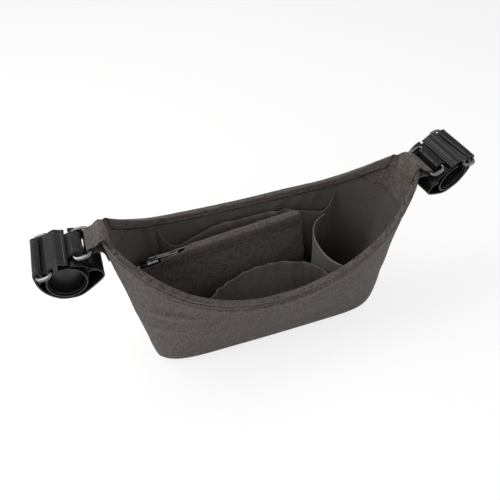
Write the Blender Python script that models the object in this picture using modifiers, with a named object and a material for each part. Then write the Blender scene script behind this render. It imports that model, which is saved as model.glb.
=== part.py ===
# Stroller organizer: a boat-shaped cloth bag with divided pockets and a ringed strap at each ear.
# Metres, +Z up. The origin is the centre of the flat bottom, the front wall faces -Y.

import math

import bmesh
import bpy
from mathutils import Matrix, Vector

# Bag plan and height
RIM_HALF_LENGTH = 0.168
FOOT_HALF_LENGTH = 0.143
FOOT_HALF_DEPTH = 0.038
FOOT_END_HALF_WIDTH = 0.020
FRONT_RIM_DEPTH = 0.0585
BACK_RIM_DEPTH = 0.0625
EAR_FRONT_WIDTH = 0.019
EAR_BACK_WIDTH = 0.015
FRONT_RIM_HEIGHT = 0.104
BACK_RIM_HEIGHT = 0.143
EAR_HEIGHT = 0.203
RIM_ROUNDNESS = 5.1
FOOT_ROUNDNESS = 10.0
FRONT_RIM_SWEEP = 2.1
BACK_RIM_SWEEP = 5.0
FOOT_RADIUS = 0.012
WALL_BULGE = 0.002

# Cloth, board and clearances
GAP = 0.0003
SHELL_THICKNESS = 0.002
LINING_THICKNESS = 0.001
BOARD_THICKNESS = 0.002
BOARD_MARGIN = 0.002
BINDING_THICKNESS = 0.001
BINDING_HEIGHT = 0.008
BINDING_END = 0.965
BINDING_LIFT = 0.001
POCKET_THICKNESS = 0.001
PANEL_THICKNESS = 0.0012

# Zip pocket, which divides the bag lengthwise
ZIP_POCKET_TOP = 0.121
ZIP_POCKET_RIGHT = 0.062
ZIP_POCKET_BAND = 0.012
ZIP_POCKET_TAPER = 0.020
ZIP_POCKET_FOOT_HALF = 0.0016
ZIP_POCKET_FULLNESS = 0.0028
# The divider's places are measured in from the back rim, the back of the foot and the left end
DIVIDER_TOP_LEFT_Y = BACK_RIM_DEPTH - 0.0445
DIVIDER_TOP_RIGHT_Y = BACK_RIM_DEPTH - 0.0205
DIVIDER_FOOT_LEFT_Y = FOOT_HALF_DEPTH - 0.036
DIVIDER_FOOT_RIGHT_Y = FOOT_HALF_DEPTH - 0.024
DIVIDER_LEFT_X = 0.016 - RIM_HALF_LENGTH

# Zip
ZIP_START_X = 0.030 - RIM_HALF_LENGTH
ZIP_END_X = 0.036
ZIP_MOUTH = 0.0044
TEETH_WIDTH = 0.0024
TEETH_HEIGHT = 0.0020
TOOTH_DEPTH = 0.0009
TOOTH_PITCH = 0.0030
TOOTH_OFFSET = 0.20
TOOTH_TIP = 0.36
TOOTH_FLANK = 0.12
TAPE_THICKNESS = 0.0008
TAPE_HEIGHT = 0.0105
TAPE_STAND = 0.0007
SLIDER_X = 0.014 + ZIP_START_X
SLIDER_LENGTH = 0.012
SLIDER_PLATE = 0.0012
SLIDER_HALF_WIDTH = 0.0062
SLIDER_LIP = 0.0010
NECK_HALF_WIDTH = 0.0017
BRIDGE_OPENING = 0.0058
BRIDGE_HEIGHT = 0.0025
BRIDGE_THICKNESS = 0.0010
BRIDGE_HALF_WIDTH = 0.0011
PULL_LENGTH = 0.031
PULL_HALF_WIDTH = 0.0027
PULL_THICKNESS = 0.0012
PULL_EYE_BAR = 0.0014
PULL_EYE_LENGTH = 0.0046
PULL_SLOT_LENGTH = 0.008
STOP_LENGTH = 0.003
TAPE_OVERRUN = 0.0045

# Front pocket, gathered on its elastic hem
FRONT_HEM_REACH = (
    (-0.0920, 0.0),
    (-0.0800, 0.0170),
    (-0.0620, 0.0330),
    (-0.0400, 0.0450),
    (-0.0180, 0.0520),
    (0.0040, 0.0540),
    (0.0260, 0.0500),
    (0.0460, 0.0400),
    (0.0600, 0.0240),
    (0.0680, 0.0),
)
FRONT_POCKET_TOP = 0.094
FRONT_POCKET_FOOT = 0.026
FRONT_POCKET_ROWS = 7
FRONT_HEM_STEPS = 4
FRONT_HEM_TUCK = 0.0012
GATHER_DEPTH = 0.0009

# Bottle pocket, a curved wall across the right end
BOTTLE_POCKET_BACK_X = 0.094
BOTTLE_POCKET_FRONT_X = 0.083
BOTTLE_POCKET_LEFT_X = 0.0625
BOTTLE_POCKET_TOP = 0.110
BOTTLE_POCKET_FOOT = 0.009
BOTTLE_FOOT_INSET = 0.006
PIPING_RADIUS = 0.0011

# Back pocket, slack along the back wall
BACK_HEM = (
    (0.0, 0.1270, 0.0065),
    (0.0380, 0.1270, 0.0060),
    (0.0700, 0.1190, 0.0078),
    (0.0880, 0.1145, 0.0084),
    (0.1000, 0.1200, 0.0060),
    (0.1100, 0.1390, 0.0),
)
BACK_POCKET_FOOT = 0.034
BACK_POCKET_ROWS = 5
BACK_HEM_STEPS = 3

# Ear loops, rings and straps. Local axes: u points away from the bag, w points up.
EAR_BAR_X = RIM_HALF_LENGTH + 0.0105
EAR_BAR_Z = 0.196
STRAP_Y = -0.0035
EAR_LOOP_WIDTH = 0.030
EAR_LOOP_THICKNESS = 0.0016
EAR_LOOP_INSIDE = 0.018
EAR_LOOP_OUTSIDE = 0.016
EAR_ROLL_LEAD = 1.6
EAR_ROLL_START = 85
EAR_ROLL_STOP = -85
RING_WIRE_RADIUS = 0.0018
RING_CORNER = 0.0040
INNER_RING_PITCH = 0.0155
INNER_RING_DROOP = -5.0
OUTER_RING_PITCH = 0.0135
OUTER_RING_DROOP = -10.0
TAB_WIDTH = 0.029
STRAP_WIDTH = 0.048
STRAP_THICKNESS = 0.0016
RING_SIDE_PLAY = 0.0006
GRIP_RADIUS = 0.016
GRIP_OUT = 0.028
GRIP_DOWN = 0.0235
LINER_THICKNESS = 0.0010
LINER_MARGIN = 0.0020
LINER_RIB = 0.0005
LINER_RIBS = 30
PATCH_THICKNESS = 0.0008
PATCH_WIDTH = 0.038
BELT_DROP = 0.0440
FLAP_START = 106
BAR_ANGLE = 64
GRIP_SEAM_ANGLE = 24

# The belt's line as (u, w) offsets: from its start beside the tab, from the lowest point
# under the grip, and from the far bar of the outer ring with w above the lowest point
BELT_BACK_LINE = ((0.0, 0.0), (-0.0065, 0.0005), (-0.0125, -0.0045), (-0.0125, -0.0115))
BELT_UNDER_LINE = ((-0.0215, 0.0085), (-0.0100, 0.0010), (0.0, 0.0), (0.0110, 0.0030))
BELT_RISE_LINE = ((-0.0020, 0.0135), (0.0023, 0.0260))
BELT_ROLL_STOP = 238
BELT_TAIL_LINE = ((-0.0004, -0.0061), (-0.0014, -0.0104))

# How each strap lies at rest, in degrees: turned, tilted, ring lifted, grip lifted
LEFT_POSE = (0.0, 0.0, 0.0, 0.0)
RIGHT_POSE = (12.0, 8.0, 24.0, -8.0)

# Mesh fineness
RIM_SEGMENTS = 26
END_SEGMENTS = 4
CORNER_ROWS = 3
WALL_ROWS = 5

LINING_INSET = SHELL_THICKNESS + GAP
LINING_FLOOR = SHELL_THICKNESS + BOARD_THICKNESS + 2 * GAP
INSIDE_INSET = LINING_INSET + LINING_THICKNESS
INSIDE_FLOOR = LINING_FLOOR + LINING_THICKNESS
BACK_POCKET_ROOM = max(reach for _, _, reach in BACK_HEM) + POCKET_THICKNESS + GAP
PANEL_HALF_TOP = ZIP_MOUTH / 2 + TEETH_WIDTH / 2 + TAPE_THICKNESS / 2 + GAP + PANEL_THICKNESS / 2
ZIP_POCKET_FOOT = INSIDE_FLOOR + 4 * GAP
WRAP_RADIUS = RING_WIRE_RADIUS + GAP + STRAP_THICKNESS / 2
WRAP_LAYER = LINER_THICKNESS + GAP + STRAP_THICKNESS / 2
TAB_LAYER = WRAP_LAYER + STRAP_THICKNESS + GAP
LOOP_PATCH_LAYER = TAB_LAYER + (STRAP_THICKNESS + PATCH_THICKNESS) / 2 + GAP
HOOK_PATCH_LAYER = LOOP_PATCH_LAYER + PATCH_THICKNESS + GAP
FLAP_LAYER = HOOK_PATCH_LAYER + (STRAP_THICKNESS + PATCH_THICKNESS) / 2 + GAP


def clear_scene():
    for obj in list(bpy.data.objects):
        bpy.data.objects.remove(obj, do_unlink=True)


def make_collection(name):
    collection = bpy.data.collections.new(name)
    bpy.context.scene.collection.children.link(collection)
    return collection


def make_material(name, colour, roughness, metallic=0.0):
    material = bpy.data.materials.new(name)
    material.use_nodes = True
    shader = material.node_tree.nodes["Principled BSDF"]
    shader.inputs["Base Color"].default_value = (*colour, 1.0)
    shader.inputs["Roughness"].default_value = roughness
    shader.inputs["Metallic"].default_value = metallic
    return material


def make_object(name, bm, material, parent=None):
    mesh = bpy.data.meshes.new(name)
    bm.to_mesh(mesh)
    bm.free()
    mesh.materials.append(material)
    obj = bpy.data.objects.new(name, mesh)
    PART.objects.link(obj)
    obj.parent = parent
    return obj


def blend(a, b, share):
    return a + (b - a) * share


def mapped_grid(columns, rows, place, wrap=False):
    """A grid whose corners (u, v) run from 0 to 1, each moved to place(u, v)."""
    bm = bmesh.new()
    bmesh.ops.create_grid(bm, x_segments=columns, y_segments=rows, size=1.0)
    for vert in bm.verts:
        u = (vert.co.x + 1) / 2
        v = (vert.co.y + 1) / 2
        vert.co = place(u, v)
    if wrap:
        bmesh.ops.remove_doubles(bm, verts=bm.verts, dist=1e-6)
    return bm


def thicken(obj, thickness, offset=0.0):
    solidify = obj.modifiers.new("thickness", "SOLIDIFY")
    solidify.thickness = thickness
    solidify.offset = offset
    solidify.use_even_offset = True
    return obj


def prism(outline, lift):
    """A closed outline of points, extruded by the vector lift."""
    bm = bmesh.new()
    face = bm.faces.new([bm.verts.new(point) for point in outline])
    grown = bmesh.ops.extrude_face_region(bm, geom=[face])["geom"]
    top = [item for item in grown if isinstance(item, bmesh.types.BMVert)]
    bmesh.ops.translate(bm, verts=top, vec=lift)
    bmesh.ops.recalc_face_normals(bm, faces=bm.faces)
    return bm


def smooth_path(points, steps):
    """A Catmull-Rom curve through the points, with some steps in each span."""
    ends = [points[0] * 2 - points[1], *points, points[-1] * 2 - points[-2]]
    path = []
    for a, b, c, d in zip(ends, ends[1:], ends[2:], ends[3:]):
        for step in range(steps):
            t = step / steps
            path.append(
                0.5 * (2 * b + (c - a) * t + (2 * a - 5 * b + 4 * c - d) * t * t)
                + 0.5 * (3 * b - a - 3 * c + d) * t * t * t
            )
    return [*path, points[-1]]


def arc(centre, radius, start, stop, steps):
    """Points of an arc in the (u, w) plane, with its angles in degrees."""
    angles = [math.radians(blend(start, stop, step / steps)) for step in range(steps + 1)]
    return [centre + radius * Vector((math.cos(a), math.sin(a))) for a in angles]


# Bag walls


def plan_point(side, t, half_length, end_width, depth, roundness):
    """The point at share t of the half length, on the front (-1) or back (+1) side."""
    y = end_width + (depth - end_width) * (1 - abs(t) ** roundness)
    return Vector((half_length * t, side * y))


def station_points(station):
    """Foot and rim points of one station, which is (side, t) or ("end", side of x, share)."""
    if station[0] == "end":
        _, end, share = station
        foot = Vector((end * FOOT_HALF_LENGTH, blend(-FOOT_END_HALF_WIDTH, FOOT_END_HALF_WIDTH, share)))
        rim = Vector((end * RIM_HALF_LENGTH, blend(-EAR_FRONT_WIDTH, EAR_BACK_WIDTH, share)))
        return foot, rim, EAR_HEIGHT
    side, t = station
    foot = plan_point(side, t, FOOT_HALF_LENGTH, FOOT_END_HALF_WIDTH, FOOT_HALF_DEPTH, FOOT_ROUNDNESS)
    if side < 0:
        rim = plan_point(side, t, RIM_HALF_LENGTH, EAR_FRONT_WIDTH, FRONT_RIM_DEPTH, RIM_ROUNDNESS)
        height = blend(FRONT_RIM_HEIGHT, EAR_HEIGHT, abs(t) ** FRONT_RIM_SWEEP)
    else:
        rim = plan_point(side, t, RIM_HALF_LENGTH, EAR_BACK_WIDTH, BACK_RIM_DEPTH, RIM_ROUNDNESS)
        height = blend(BACK_RIM_HEIGHT, EAR_HEIGHT, abs(t) ** BACK_RIM_SWEEP)
    return foot, rim, height


def inward(point, inset, half_length, half_depth):
    """The plan point drawn in by inset along each axis, in proportion to its reach."""
    return Vector((point.x * (1 - inset / half_length), point.y * (1 - inset / half_depth)))


def wall_point(station, z, inset):
    """A point on the straight run of the wall at height z."""
    foot, rim, height = station_points(station)
    share = z / height
    foot = inward(foot, inset, FOOT_HALF_LENGTH, FOOT_HALF_DEPTH)
    rim = inward(rim, inset, RIM_HALF_LENGTH, BACK_RIM_DEPTH)
    point = foot.lerp(rim, share)
    if station[0] != "end":
        side, t = station
        point.y += side * WALL_BULGE * 4 * share * (1 - share) * (1 - t * t)
    return Vector((point.x, point.y, z))


def floor_edge(station, z, margin=0.0):
    foot, _, _ = station_points(station)
    inner = inward(foot, FOOT_RADIUS + margin, FOOT_HALF_LENGTH, FOOT_HALF_DEPTH)
    return Vector((inner.x, inner.y, z))


def section_point(station, share, inset, floor):
    """Share 0 is the edge of the floor, then comes the rounded foot, and 1 is the rim."""
    rows = CORNER_ROWS + WALL_ROWS
    row = share * rows
    turn_height = FOOT_RADIUS + floor
    if row <= CORNER_ROWS:
        t = row / CORNER_ROWS
        start = floor_edge(station, floor)
        knee = wall_point(station, floor, inset)
        stop = wall_point(station, turn_height, inset)
        return start.lerp(knee, t).lerp(knee.lerp(stop, t), t)
    height = station_points(station)[2]
    t = (row - CORNER_ROWS) / WALL_ROWS
    return wall_point(station, blend(turn_height, height, t), inset)


def rim_spacing(share):
    """Maps 0..1 to -1..1 with closer steps at the ears, where the plan turns."""
    line = 2 * share - 1
    return 0.45 * line + 0.55 * math.sin(line * math.pi / 2)


def loop_station(u):
    """The station at share u of the way round the bag, starting at the left front corner."""
    total = 2 * RIM_SEGMENTS + 2 * END_SEGMENTS
    step = u * total
    if step <= RIM_SEGMENTS:
        return (-1, rim_spacing(step / RIM_SEGMENTS))
    step -= RIM_SEGMENTS
    if step <= END_SEGMENTS:
        return ("end", 1, step / END_SEGMENTS)
    step -= END_SEGMENTS
    if step <= RIM_SEGMENTS:
        return (1, rim_spacing(1 - step / RIM_SEGMENTS))
    step -= RIM_SEGMENTS
    return ("end", -1, 1 - step / END_SEGMENTS)


def inside_y(side, x, z):
    """Y of the lining's face on the front (-1) or back (+1) side, at x and height z."""
    t = x / RIM_HALF_LENGTH
    for _ in range(4):
        share = z / station_points((side, t))[2]
        t = max(-1.0, min(1.0, x / (blend(FOOT_HALF_LENGTH, RIM_HALF_LENGTH, share) - INSIDE_INSET)))
    steps = 24
    points = [section_point((side, t), step / steps, INSIDE_INSET, INSIDE_FLOOR) for step in range(steps + 1)]
    for low, high in zip(points, points[1:]):
        if low.z <= z <= high.z:
            return blend(low.y, high.y, (z - low.z) / (high.z - low.z))
    return points[-1].y


def inside_end_x(y, z):
    """X of the lining's face at the right end of the bag, at y and height z."""
    steps = 24
    end = ("end", 1, 0.5)
    points = [section_point(end, step / steps, INSIDE_INSET, INSIDE_FLOOR) for step in range(steps + 1)]
    low = 0.0
    high = points[-1].x
    for under, over in zip(points, points[1:]):
        if under.z <= z <= over.z:
            high = blend(under.x, over.x, (z - under.z) / (over.z - under.z))
    side = 1 if y > 0 else -1
    if side * inside_y(side, high, z) >= side * y:
        return high
    for _ in range(20):
        middle = (low + high) / 2
        if side * inside_y(side, middle, z) > side * y:
            low = middle
        else:
            high = middle
    return low


def make_tub(name, inset, floor, thickness, material):
    """An open bag: walls from the rim down, and a flat floor."""
    columns = 2 * RIM_SEGMENTS + 2 * END_SEGMENTS
    rows = CORNER_ROWS + WALL_ROWS
    bm = mapped_grid(
        columns, rows, lambda u, v: section_point(loop_station(u), v, inset, floor), wrap=True
    )
    rim_edges = [edge for edge in bm.edges if edge.is_boundary]
    floor_edges = [edge for edge in rim_edges if all(abs(v.co.z - floor) < 1e-6 for v in edge.verts)]
    bmesh.ops.contextual_create(bm, geom=floor_edges)
    bmesh.ops.recalc_face_normals(bm, faces=bm.faces)
    return thicken(make_object(name, bm, material), thickness, offset=-1.0)


def make_base_board(material):
    """The stiff board between the shell and the lining, which keeps the bottom flat."""
    columns = 2 * RIM_SEGMENTS + 2 * END_SEGMENTS
    low = SHELL_THICKNESS + GAP
    outline = [floor_edge(loop_station(step / columns), low, BOARD_MARGIN) for step in range(columns)]
    bm = prism(outline, Vector((0, 0, BOARD_THICKNESS)))
    bmesh.ops.remove_doubles(bm, verts=bm.verts, dist=1e-6)
    return make_object("base_board", bm, material)


def binding_section(side, t):
    """The eight corners of the folded strip that covers the rim at share t."""
    height = station_points((side, t))[2]
    nearby = station_points((side, t * 0.99))[2]
    slope = (height - nearby) / max(abs(t) * 0.01 * RIM_HALF_LENGTH, 1e-9)
    stretch = math.hypot(1, slope)
    outer = -GAP
    inner = INSIDE_INSET + GAP
    outer_face = outer - BINDING_THICKNESS
    inner_face = inner + BINDING_THICKNESS
    corners = [
        (outer_face, BINDING_HEIGHT),
        (outer_face, -BINDING_LIFT - BINDING_THICKNESS),
        (inner_face, -BINDING_LIFT - BINDING_THICKNESS),
        (inner_face, BINDING_HEIGHT),
        (inner, BINDING_HEIGHT),
        (inner, -BINDING_LIFT),
        (outer, -BINDING_LIFT),
        (outer, BINDING_HEIGHT),
    ]
    return [wall_point((side, t), height - drop * stretch, inset) for inset, drop in corners]


def make_binding(name, side, material):
    """A U-shaped strip swept along the front or back rim, from ear to ear."""
    sections = [
        binding_section(side, BINDING_END * rim_spacing(step / RIM_SEGMENTS))
        for step in range(RIM_SEGMENTS + 1)
    ]
    corners = len(sections[0])
    bm = mapped_grid(
        corners,
        RIM_SEGMENTS,
        lambda u, v: sections[round(v * RIM_SEGMENTS)][round(u * corners) % corners],
        wrap=True,
    )
    ends = [edge for edge in bm.edges if edge.is_boundary]
    bmesh.ops.holes_fill(bm, edges=ends)
    bmesh.ops.recalc_face_normals(bm, faces=bm.faces)
    return make_object(name, bm, material)


# Pockets


def make_front_pocket(material):
    """A cloth panel that bellies out from the front wall and gathers on its hem."""
    clearance = GAP + POCKET_THICKNESS
    hem = smooth_path([Vector(point) for point in FRONT_HEM_REACH], FRONT_HEM_STEPS)
    columns = len(hem) - 1

    def place(u, v):
        column = round(u * columns)
        x, reach = hem[column]
        z = blend(FRONT_POCKET_FOOT, FRONT_POCKET_TOP, v)
        wall = inside_y(-1, x, z) + clearance
        slack = min(1.0, reach / FRONT_HEM_REACH[1][1])
        gather = GATHER_DEPTH * slack * v * (1 - 2 * (column % 2))
        tuck = FRONT_HEM_TUCK * slack if v == 1 else 0.0
        return Vector((x, wall + reach * v**0.75 + gather - tuck, z))

    bm = mapped_grid(columns, FRONT_POCKET_ROWS, place)
    return thicken(make_object("front_pocket", bm, material), POCKET_THICKNESS)


def make_back_pocket(material):
    """A slack panel along the back wall, whose top edge rises at both ends."""
    clearance = GAP + POCKET_THICKNESS
    half = [Vector(point) for point in BACK_HEM]
    mirrored = [Vector((-point.x, point.y, point.z)) for point in reversed(half[1:])]
    hem = smooth_path(mirrored + half, BACK_HEM_STEPS)
    columns = len(hem) - 1

    def place(u, v):
        x, top, reach = hem[round(u * columns)]
        z = blend(BACK_POCKET_FOOT, top, v)
        slack = reach * min(1.0, 3 * v)
        return Vector((x, inside_y(1, x, z) - clearance - slack, z))

    bm = mapped_grid(columns, BACK_POCKET_ROWS, place)
    return thicken(make_object("back_pocket", bm, material), POCKET_THICKNESS)


def bottle_pocket_point(u, z):
    """A point of the bottle pocket's wall, from its back seam (u 0) to its front seam (u 1)."""
    share = (z - BOTTLE_POCKET_FOOT) / (BOTTLE_POCKET_TOP - BOTTLE_POCKET_FOOT)
    inset = BOTTLE_FOOT_INSET * (1 - share)
    clearance = 2 * GAP + POCKET_THICKNESS
    back_x = BOTTLE_POCKET_BACK_X - inset
    front_x = BOTTLE_POCKET_FRONT_X - inset
    back = Vector((back_x, inside_y(1, back_x, z) - clearance - BACK_POCKET_ROOM))
    front = Vector((front_x, inside_y(-1, front_x, z) + clearance))
    left = BOTTLE_POCKET_LEFT_X + inset
    pull_in = (BOTTLE_POCKET_BACK_X + BOTTLE_POCKET_FRONT_X) / 2 - BOTTLE_POCKET_LEFT_X
    knee_x = left - pull_in / 3
    back_knee = Vector((knee_x, back.y * 0.72))
    front_knee = Vector((knee_x, front.y * 0.72))
    a = (1 - u) ** 3
    b = 3 * (1 - u) ** 2 * u
    c = 3 * (1 - u) * u * u
    point = back * a + back_knee * b + front_knee * c + front * u**3
    return Vector((point.x, point.y, z))


def make_bottle_pocket(material):
    """A curved wall that turns the right end of the bag into a round well."""

    def place(u, v):
        return bottle_pocket_point(u, blend(BOTTLE_POCKET_FOOT, BOTTLE_POCKET_TOP, v))

    bm = mapped_grid(20, 5, place)
    return thicken(make_object("bottle_pocket", bm, material), POCKET_THICKNESS)


def make_cord(name, points, radius, material, cyclic=False, parent=None):
    """A round wire along points, as a bevelled curve with filled caps."""
    curve = bpy.data.curves.new(name, "CURVE")
    curve.dimensions = "3D"
    curve.bevel_depth = radius
    curve.bevel_resolution = 2
    curve.use_fill_caps = True
    spline = curve.splines.new("POLY")
    spline.points.add(len(points) - 1)
    for point, place in zip(spline.points, points):
        point.co = (*place, 1.0)
    spline.use_cyclic_u = cyclic
    curve.materials.append(material)
    obj = bpy.data.objects.new(name, curve)
    PART.objects.link(obj)
    obj.parent = parent
    return obj


def make_bottle_piping(material):
    """The corded edge sewn along the top of the bottle pocket's wall."""
    steps = 20
    z = BOTTLE_POCKET_TOP
    lift = PIPING_RADIUS + GAP
    points = [bottle_pocket_point(step / steps, z) + Vector((0, 0, lift)) for step in range(steps + 1)]
    return make_cord("bottle_pocket_piping", points, PIPING_RADIUS, material)


# Zip pocket


def divider_y(x, top):
    """Y of the divider's middle plane along its top or its foot."""
    share = (x - DIVIDER_LEFT_X) / (ZIP_POCKET_RIGHT - DIVIDER_LEFT_X)
    if top:
        return blend(DIVIDER_TOP_LEFT_Y, DIVIDER_TOP_RIGHT_Y, share)
    return blend(DIVIDER_FOOT_LEFT_Y, DIVIDER_FOOT_RIGHT_Y, share)


def make_zip_panel(name, side, material):
    """The front (-1) or back (+1) cloth of the zip pocket, from the left end wall to its free edge."""
    clearance = 4 * GAP
    rows = 8
    band_foot = ZIP_POCKET_TOP - ZIP_POCKET_BAND

    def place(u, v):
        row = v * rows
        lean = min(1.0, row / (rows - 1))
        z = blend(ZIP_POCKET_FOOT, band_foot, lean)
        if row > rows - 1:
            z = blend(band_foot, ZIP_POCKET_TOP, row - rows + 1)
        half = blend(ZIP_POCKET_FOOT_HALF, PANEL_HALF_TOP, lean**0.5)
        half += ZIP_POCKET_FULLNESS * math.sin(math.pi * lean)
        left_y = blend(divider_y(DIVIDER_LEFT_X, False), divider_y(DIVIDER_LEFT_X, True), lean) + side * half
        x = blend(clearance - inside_end_x(left_y + PANEL_THICKNESS * side, z), ZIP_POCKET_RIGHT, u)
        middle = blend(divider_y(x, False), divider_y(x, True), lean)
        offset = side * half
        closing = (x - (ZIP_POCKET_RIGHT - ZIP_POCKET_TAPER)) / ZIP_POCKET_TAPER
        if side > 0 and closing > 0:
            shut = -half + PANEL_THICKNESS + 2 * GAP
            offset = blend(half, shut, closing * closing * (3 - 2 * closing))
        return Vector((x, middle + offset, z))

    bm = mapped_grid(22, rows, place)
    return thicken(make_object(name, bm, material), PANEL_THICKNESS)


def zip_frame(x):
    """The place on the zip's centre line at x, with axes along and across the zip."""
    rise = DIVIDER_TOP_RIGHT_Y - DIVIDER_TOP_LEFT_Y
    run = ZIP_POCKET_RIGHT - DIVIDER_LEFT_X
    turn = Matrix.Rotation(math.atan2(rise, run), 4, "Z")
    return Matrix.Translation((x, divider_y(x, True), ZIP_POCKET_TOP)) @ turn


def zip_run():
    """Length of the zip along its own line."""
    return (zip_frame(ZIP_END_X).translation - zip_frame(ZIP_START_X).translation).length


def place_on_zip(obj, x):
    obj.matrix_world = zip_frame(x)
    return obj


def make_zip_tape(name, side, material):
    """The woven strip that holds one row of teeth, sewn inside the panel's band."""
    middle = side * (ZIP_MOUTH + TEETH_WIDTH) / 2
    low = TAPE_STAND - TAPE_HEIGHT
    outline = [
        Vector((-TAPE_OVERRUN, middle - TAPE_THICKNESS / 2, low)),
        Vector((-TAPE_OVERRUN, middle + TAPE_THICKNESS / 2, low)),
        Vector((-TAPE_OVERRUN, middle + TAPE_THICKNESS / 2, TAPE_STAND)),
        Vector((-TAPE_OVERRUN, middle - TAPE_THICKNESS / 2, TAPE_STAND)),
    ]
    bm = prism(outline, Vector((zip_run() + 2 * TAPE_OVERRUN, 0, 0)))
    return place_on_zip(make_object(name, bm, material), ZIP_START_X)


def make_zip_teeth(name, side, material):
    """One row of teeth on their bead, as a comb that points at the other row."""
    inner = ZIP_MOUTH / 2
    root = inner + TOOTH_DEPTH
    outer = inner + TEETH_WIDTH
    low = TAPE_STAND + GAP
    count = int(zip_run() / TOOTH_PITCH)
    outline = [(0.0, outer), (0.0, root)]
    for tooth in range(count):
        start = (tooth + TOOTH_OFFSET) * TOOTH_PITCH
        crown = start + TOOTH_FLANK * TOOTH_PITCH
        heel = crown + TOOTH_TIP * TOOTH_PITCH
        outline += [
            (start, root),
            (crown, inner),
            (heel, inner),
            (heel + TOOTH_FLANK * TOOTH_PITCH, root),
        ]
    outline += [(count * TOOTH_PITCH, root), (count * TOOTH_PITCH, outer)]
    points = [Vector((along, side * across, low)) for along, across in outline]
    bm = prism(points, Vector((0, 0, TEETH_HEIGHT)))
    return place_on_zip(make_object(name, bm, material), ZIP_START_X)


def make_zip_slider(material):
    """The slider: two plates joined by a neck between the rows, lips outside, a bridge on top."""
    over = TAPE_STAND + GAP + TEETH_HEIGHT + GAP
    under = TAPE_STAND
    tongue = ZIP_MOUTH / 2 + (TEETH_WIDTH - TAPE_THICKNESS) / 2 - GAP
    lip_inner = ZIP_MOUTH / 2 + TEETH_WIDTH + GAP
    half_section = [
        (tongue, under - SLIDER_PLATE),
        (tongue, under),
        (NECK_HALF_WIDTH, under),
        (NECK_HALF_WIDTH, over),
        (lip_inner, over),
        (lip_inner, over - SLIDER_LIP),
        (SLIDER_HALF_WIDTH, over - SLIDER_LIP),
        (SLIDER_HALF_WIDTH, over + SLIDER_PLATE),
    ]
    section = half_section + [(-across, up) for across, up in reversed(half_section)]
    outline = [Vector((-SLIDER_LENGTH / 2, across, up)) for across, up in section]
    body = make_object("zip_slider", prism(outline, Vector((SLIDER_LENGTH, 0, 0))), material)
    place_on_zip(body, SLIDER_X)
    top = over + SLIDER_PLATE
    sink = SLIDER_PLATE / 2
    inner = BRIDGE_OPENING / 2
    outer = inner + BRIDGE_THICKNESS
    crown = top + BRIDGE_HEIGHT + BRIDGE_THICKNESS
    arch = [
        (-outer, top - sink),
        (-inner, top - sink),
        (-inner, top + BRIDGE_HEIGHT),
        (inner, top + BRIDGE_HEIGHT),
        (inner, top - sink),
        (outer, top - sink),
        (outer, crown - BRIDGE_THICKNESS / 2),
        (inner, crown),
        (-inner, crown),
        (-outer, crown - BRIDGE_THICKNESS / 2),
    ]
    outline = [Vector((along, -BRIDGE_HALF_WIDTH, up)) for along, up in arch]
    bridge = make_object("bridge_tool", prism(outline, Vector((0, 2 * BRIDGE_HALF_WIDTH, 0))), material)
    place_on_zip(bridge, SLIDER_X)
    PART.objects.unlink(bridge)
    TOOLS.objects.link(bridge)
    bridge.hide_render = True
    bridge.display_type = "WIRE"
    union = body.modifiers.new("bridge", "BOOLEAN")
    union.operation = "UNION"
    union.object = bridge
    return body


def slider_top():
    return TAPE_STAND + 2 * GAP + TEETH_HEIGHT + SLIDER_PLATE


def make_zip_pull(material):
    """The flat pull: an eye bar under the bridge, an arm on each side of it, and a slotted blade."""
    half_bar = PULL_EYE_BAR / 2
    eye_end = half_bar + PULL_EYE_LENGTH
    hole = BRIDGE_HALF_WIDTH + 2 * GAP
    tip = PULL_LENGTH - half_bar
    corner = PULL_HALF_WIDTH * 0.6
    slot_start = tip - PULL_SLOT_LENGTH - PULL_HALF_WIDTH * 0.7
    outlines = [
        [
            (-half_bar, -PULL_HALF_WIDTH * 0.8),
            (eye_end, -PULL_HALF_WIDTH * 0.8),
            (eye_end + corner, -PULL_HALF_WIDTH),
            (tip - corner, -PULL_HALF_WIDTH),
            (tip, -PULL_HALF_WIDTH + corner),
            (tip, PULL_HALF_WIDTH - corner),
            (tip - corner, PULL_HALF_WIDTH),
            (eye_end + corner, PULL_HALF_WIDTH),
            (eye_end, PULL_HALF_WIDTH * 0.8),
            (-half_bar, PULL_HALF_WIDTH * 0.8),
        ],
        [(half_bar, -hole), (half_bar, hole), (eye_end, hole), (eye_end, -hole)],
        [
            (slot_start, -PULL_HALF_WIDTH * 0.4),
            (slot_start, PULL_HALF_WIDTH * 0.4),
            (slot_start + PULL_SLOT_LENGTH, PULL_HALF_WIDTH * 0.4),
            (slot_start + PULL_SLOT_LENGTH, -PULL_HALF_WIDTH * 0.4),
        ],
    ]
    curve = bpy.data.curves.new("zip_pull", "CURVE")
    curve.dimensions = "2D"
    curve.fill_mode = "BOTH"
    curve.extrude = PULL_THICKNESS / 2
    curve.materials.append(material)
    for outline in outlines:
        spline = curve.splines.new("POLY")
        spline.points.add(len(outline) - 1)
        spline.use_cyclic_u = True
        for point, (along, across) in zip(spline.points, outline):
            point.co = (along, across, 0.0, 1.0)
    obj = bpy.data.objects.new("zip_pull", curve)
    PART.objects.link(obj)
    height = slider_top() + BRIDGE_HEIGHT / 2
    spare = height - PULL_THICKNESS / 2 - (TAPE_STAND + GAP + TEETH_HEIGHT) - GAP
    droop = Matrix.Rotation(math.atan2(spare, tip), 4, "Y")
    obj.matrix_world = zip_frame(SLIDER_X) @ Matrix.Translation((0, 0, height)) @ droop
    return obj


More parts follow.
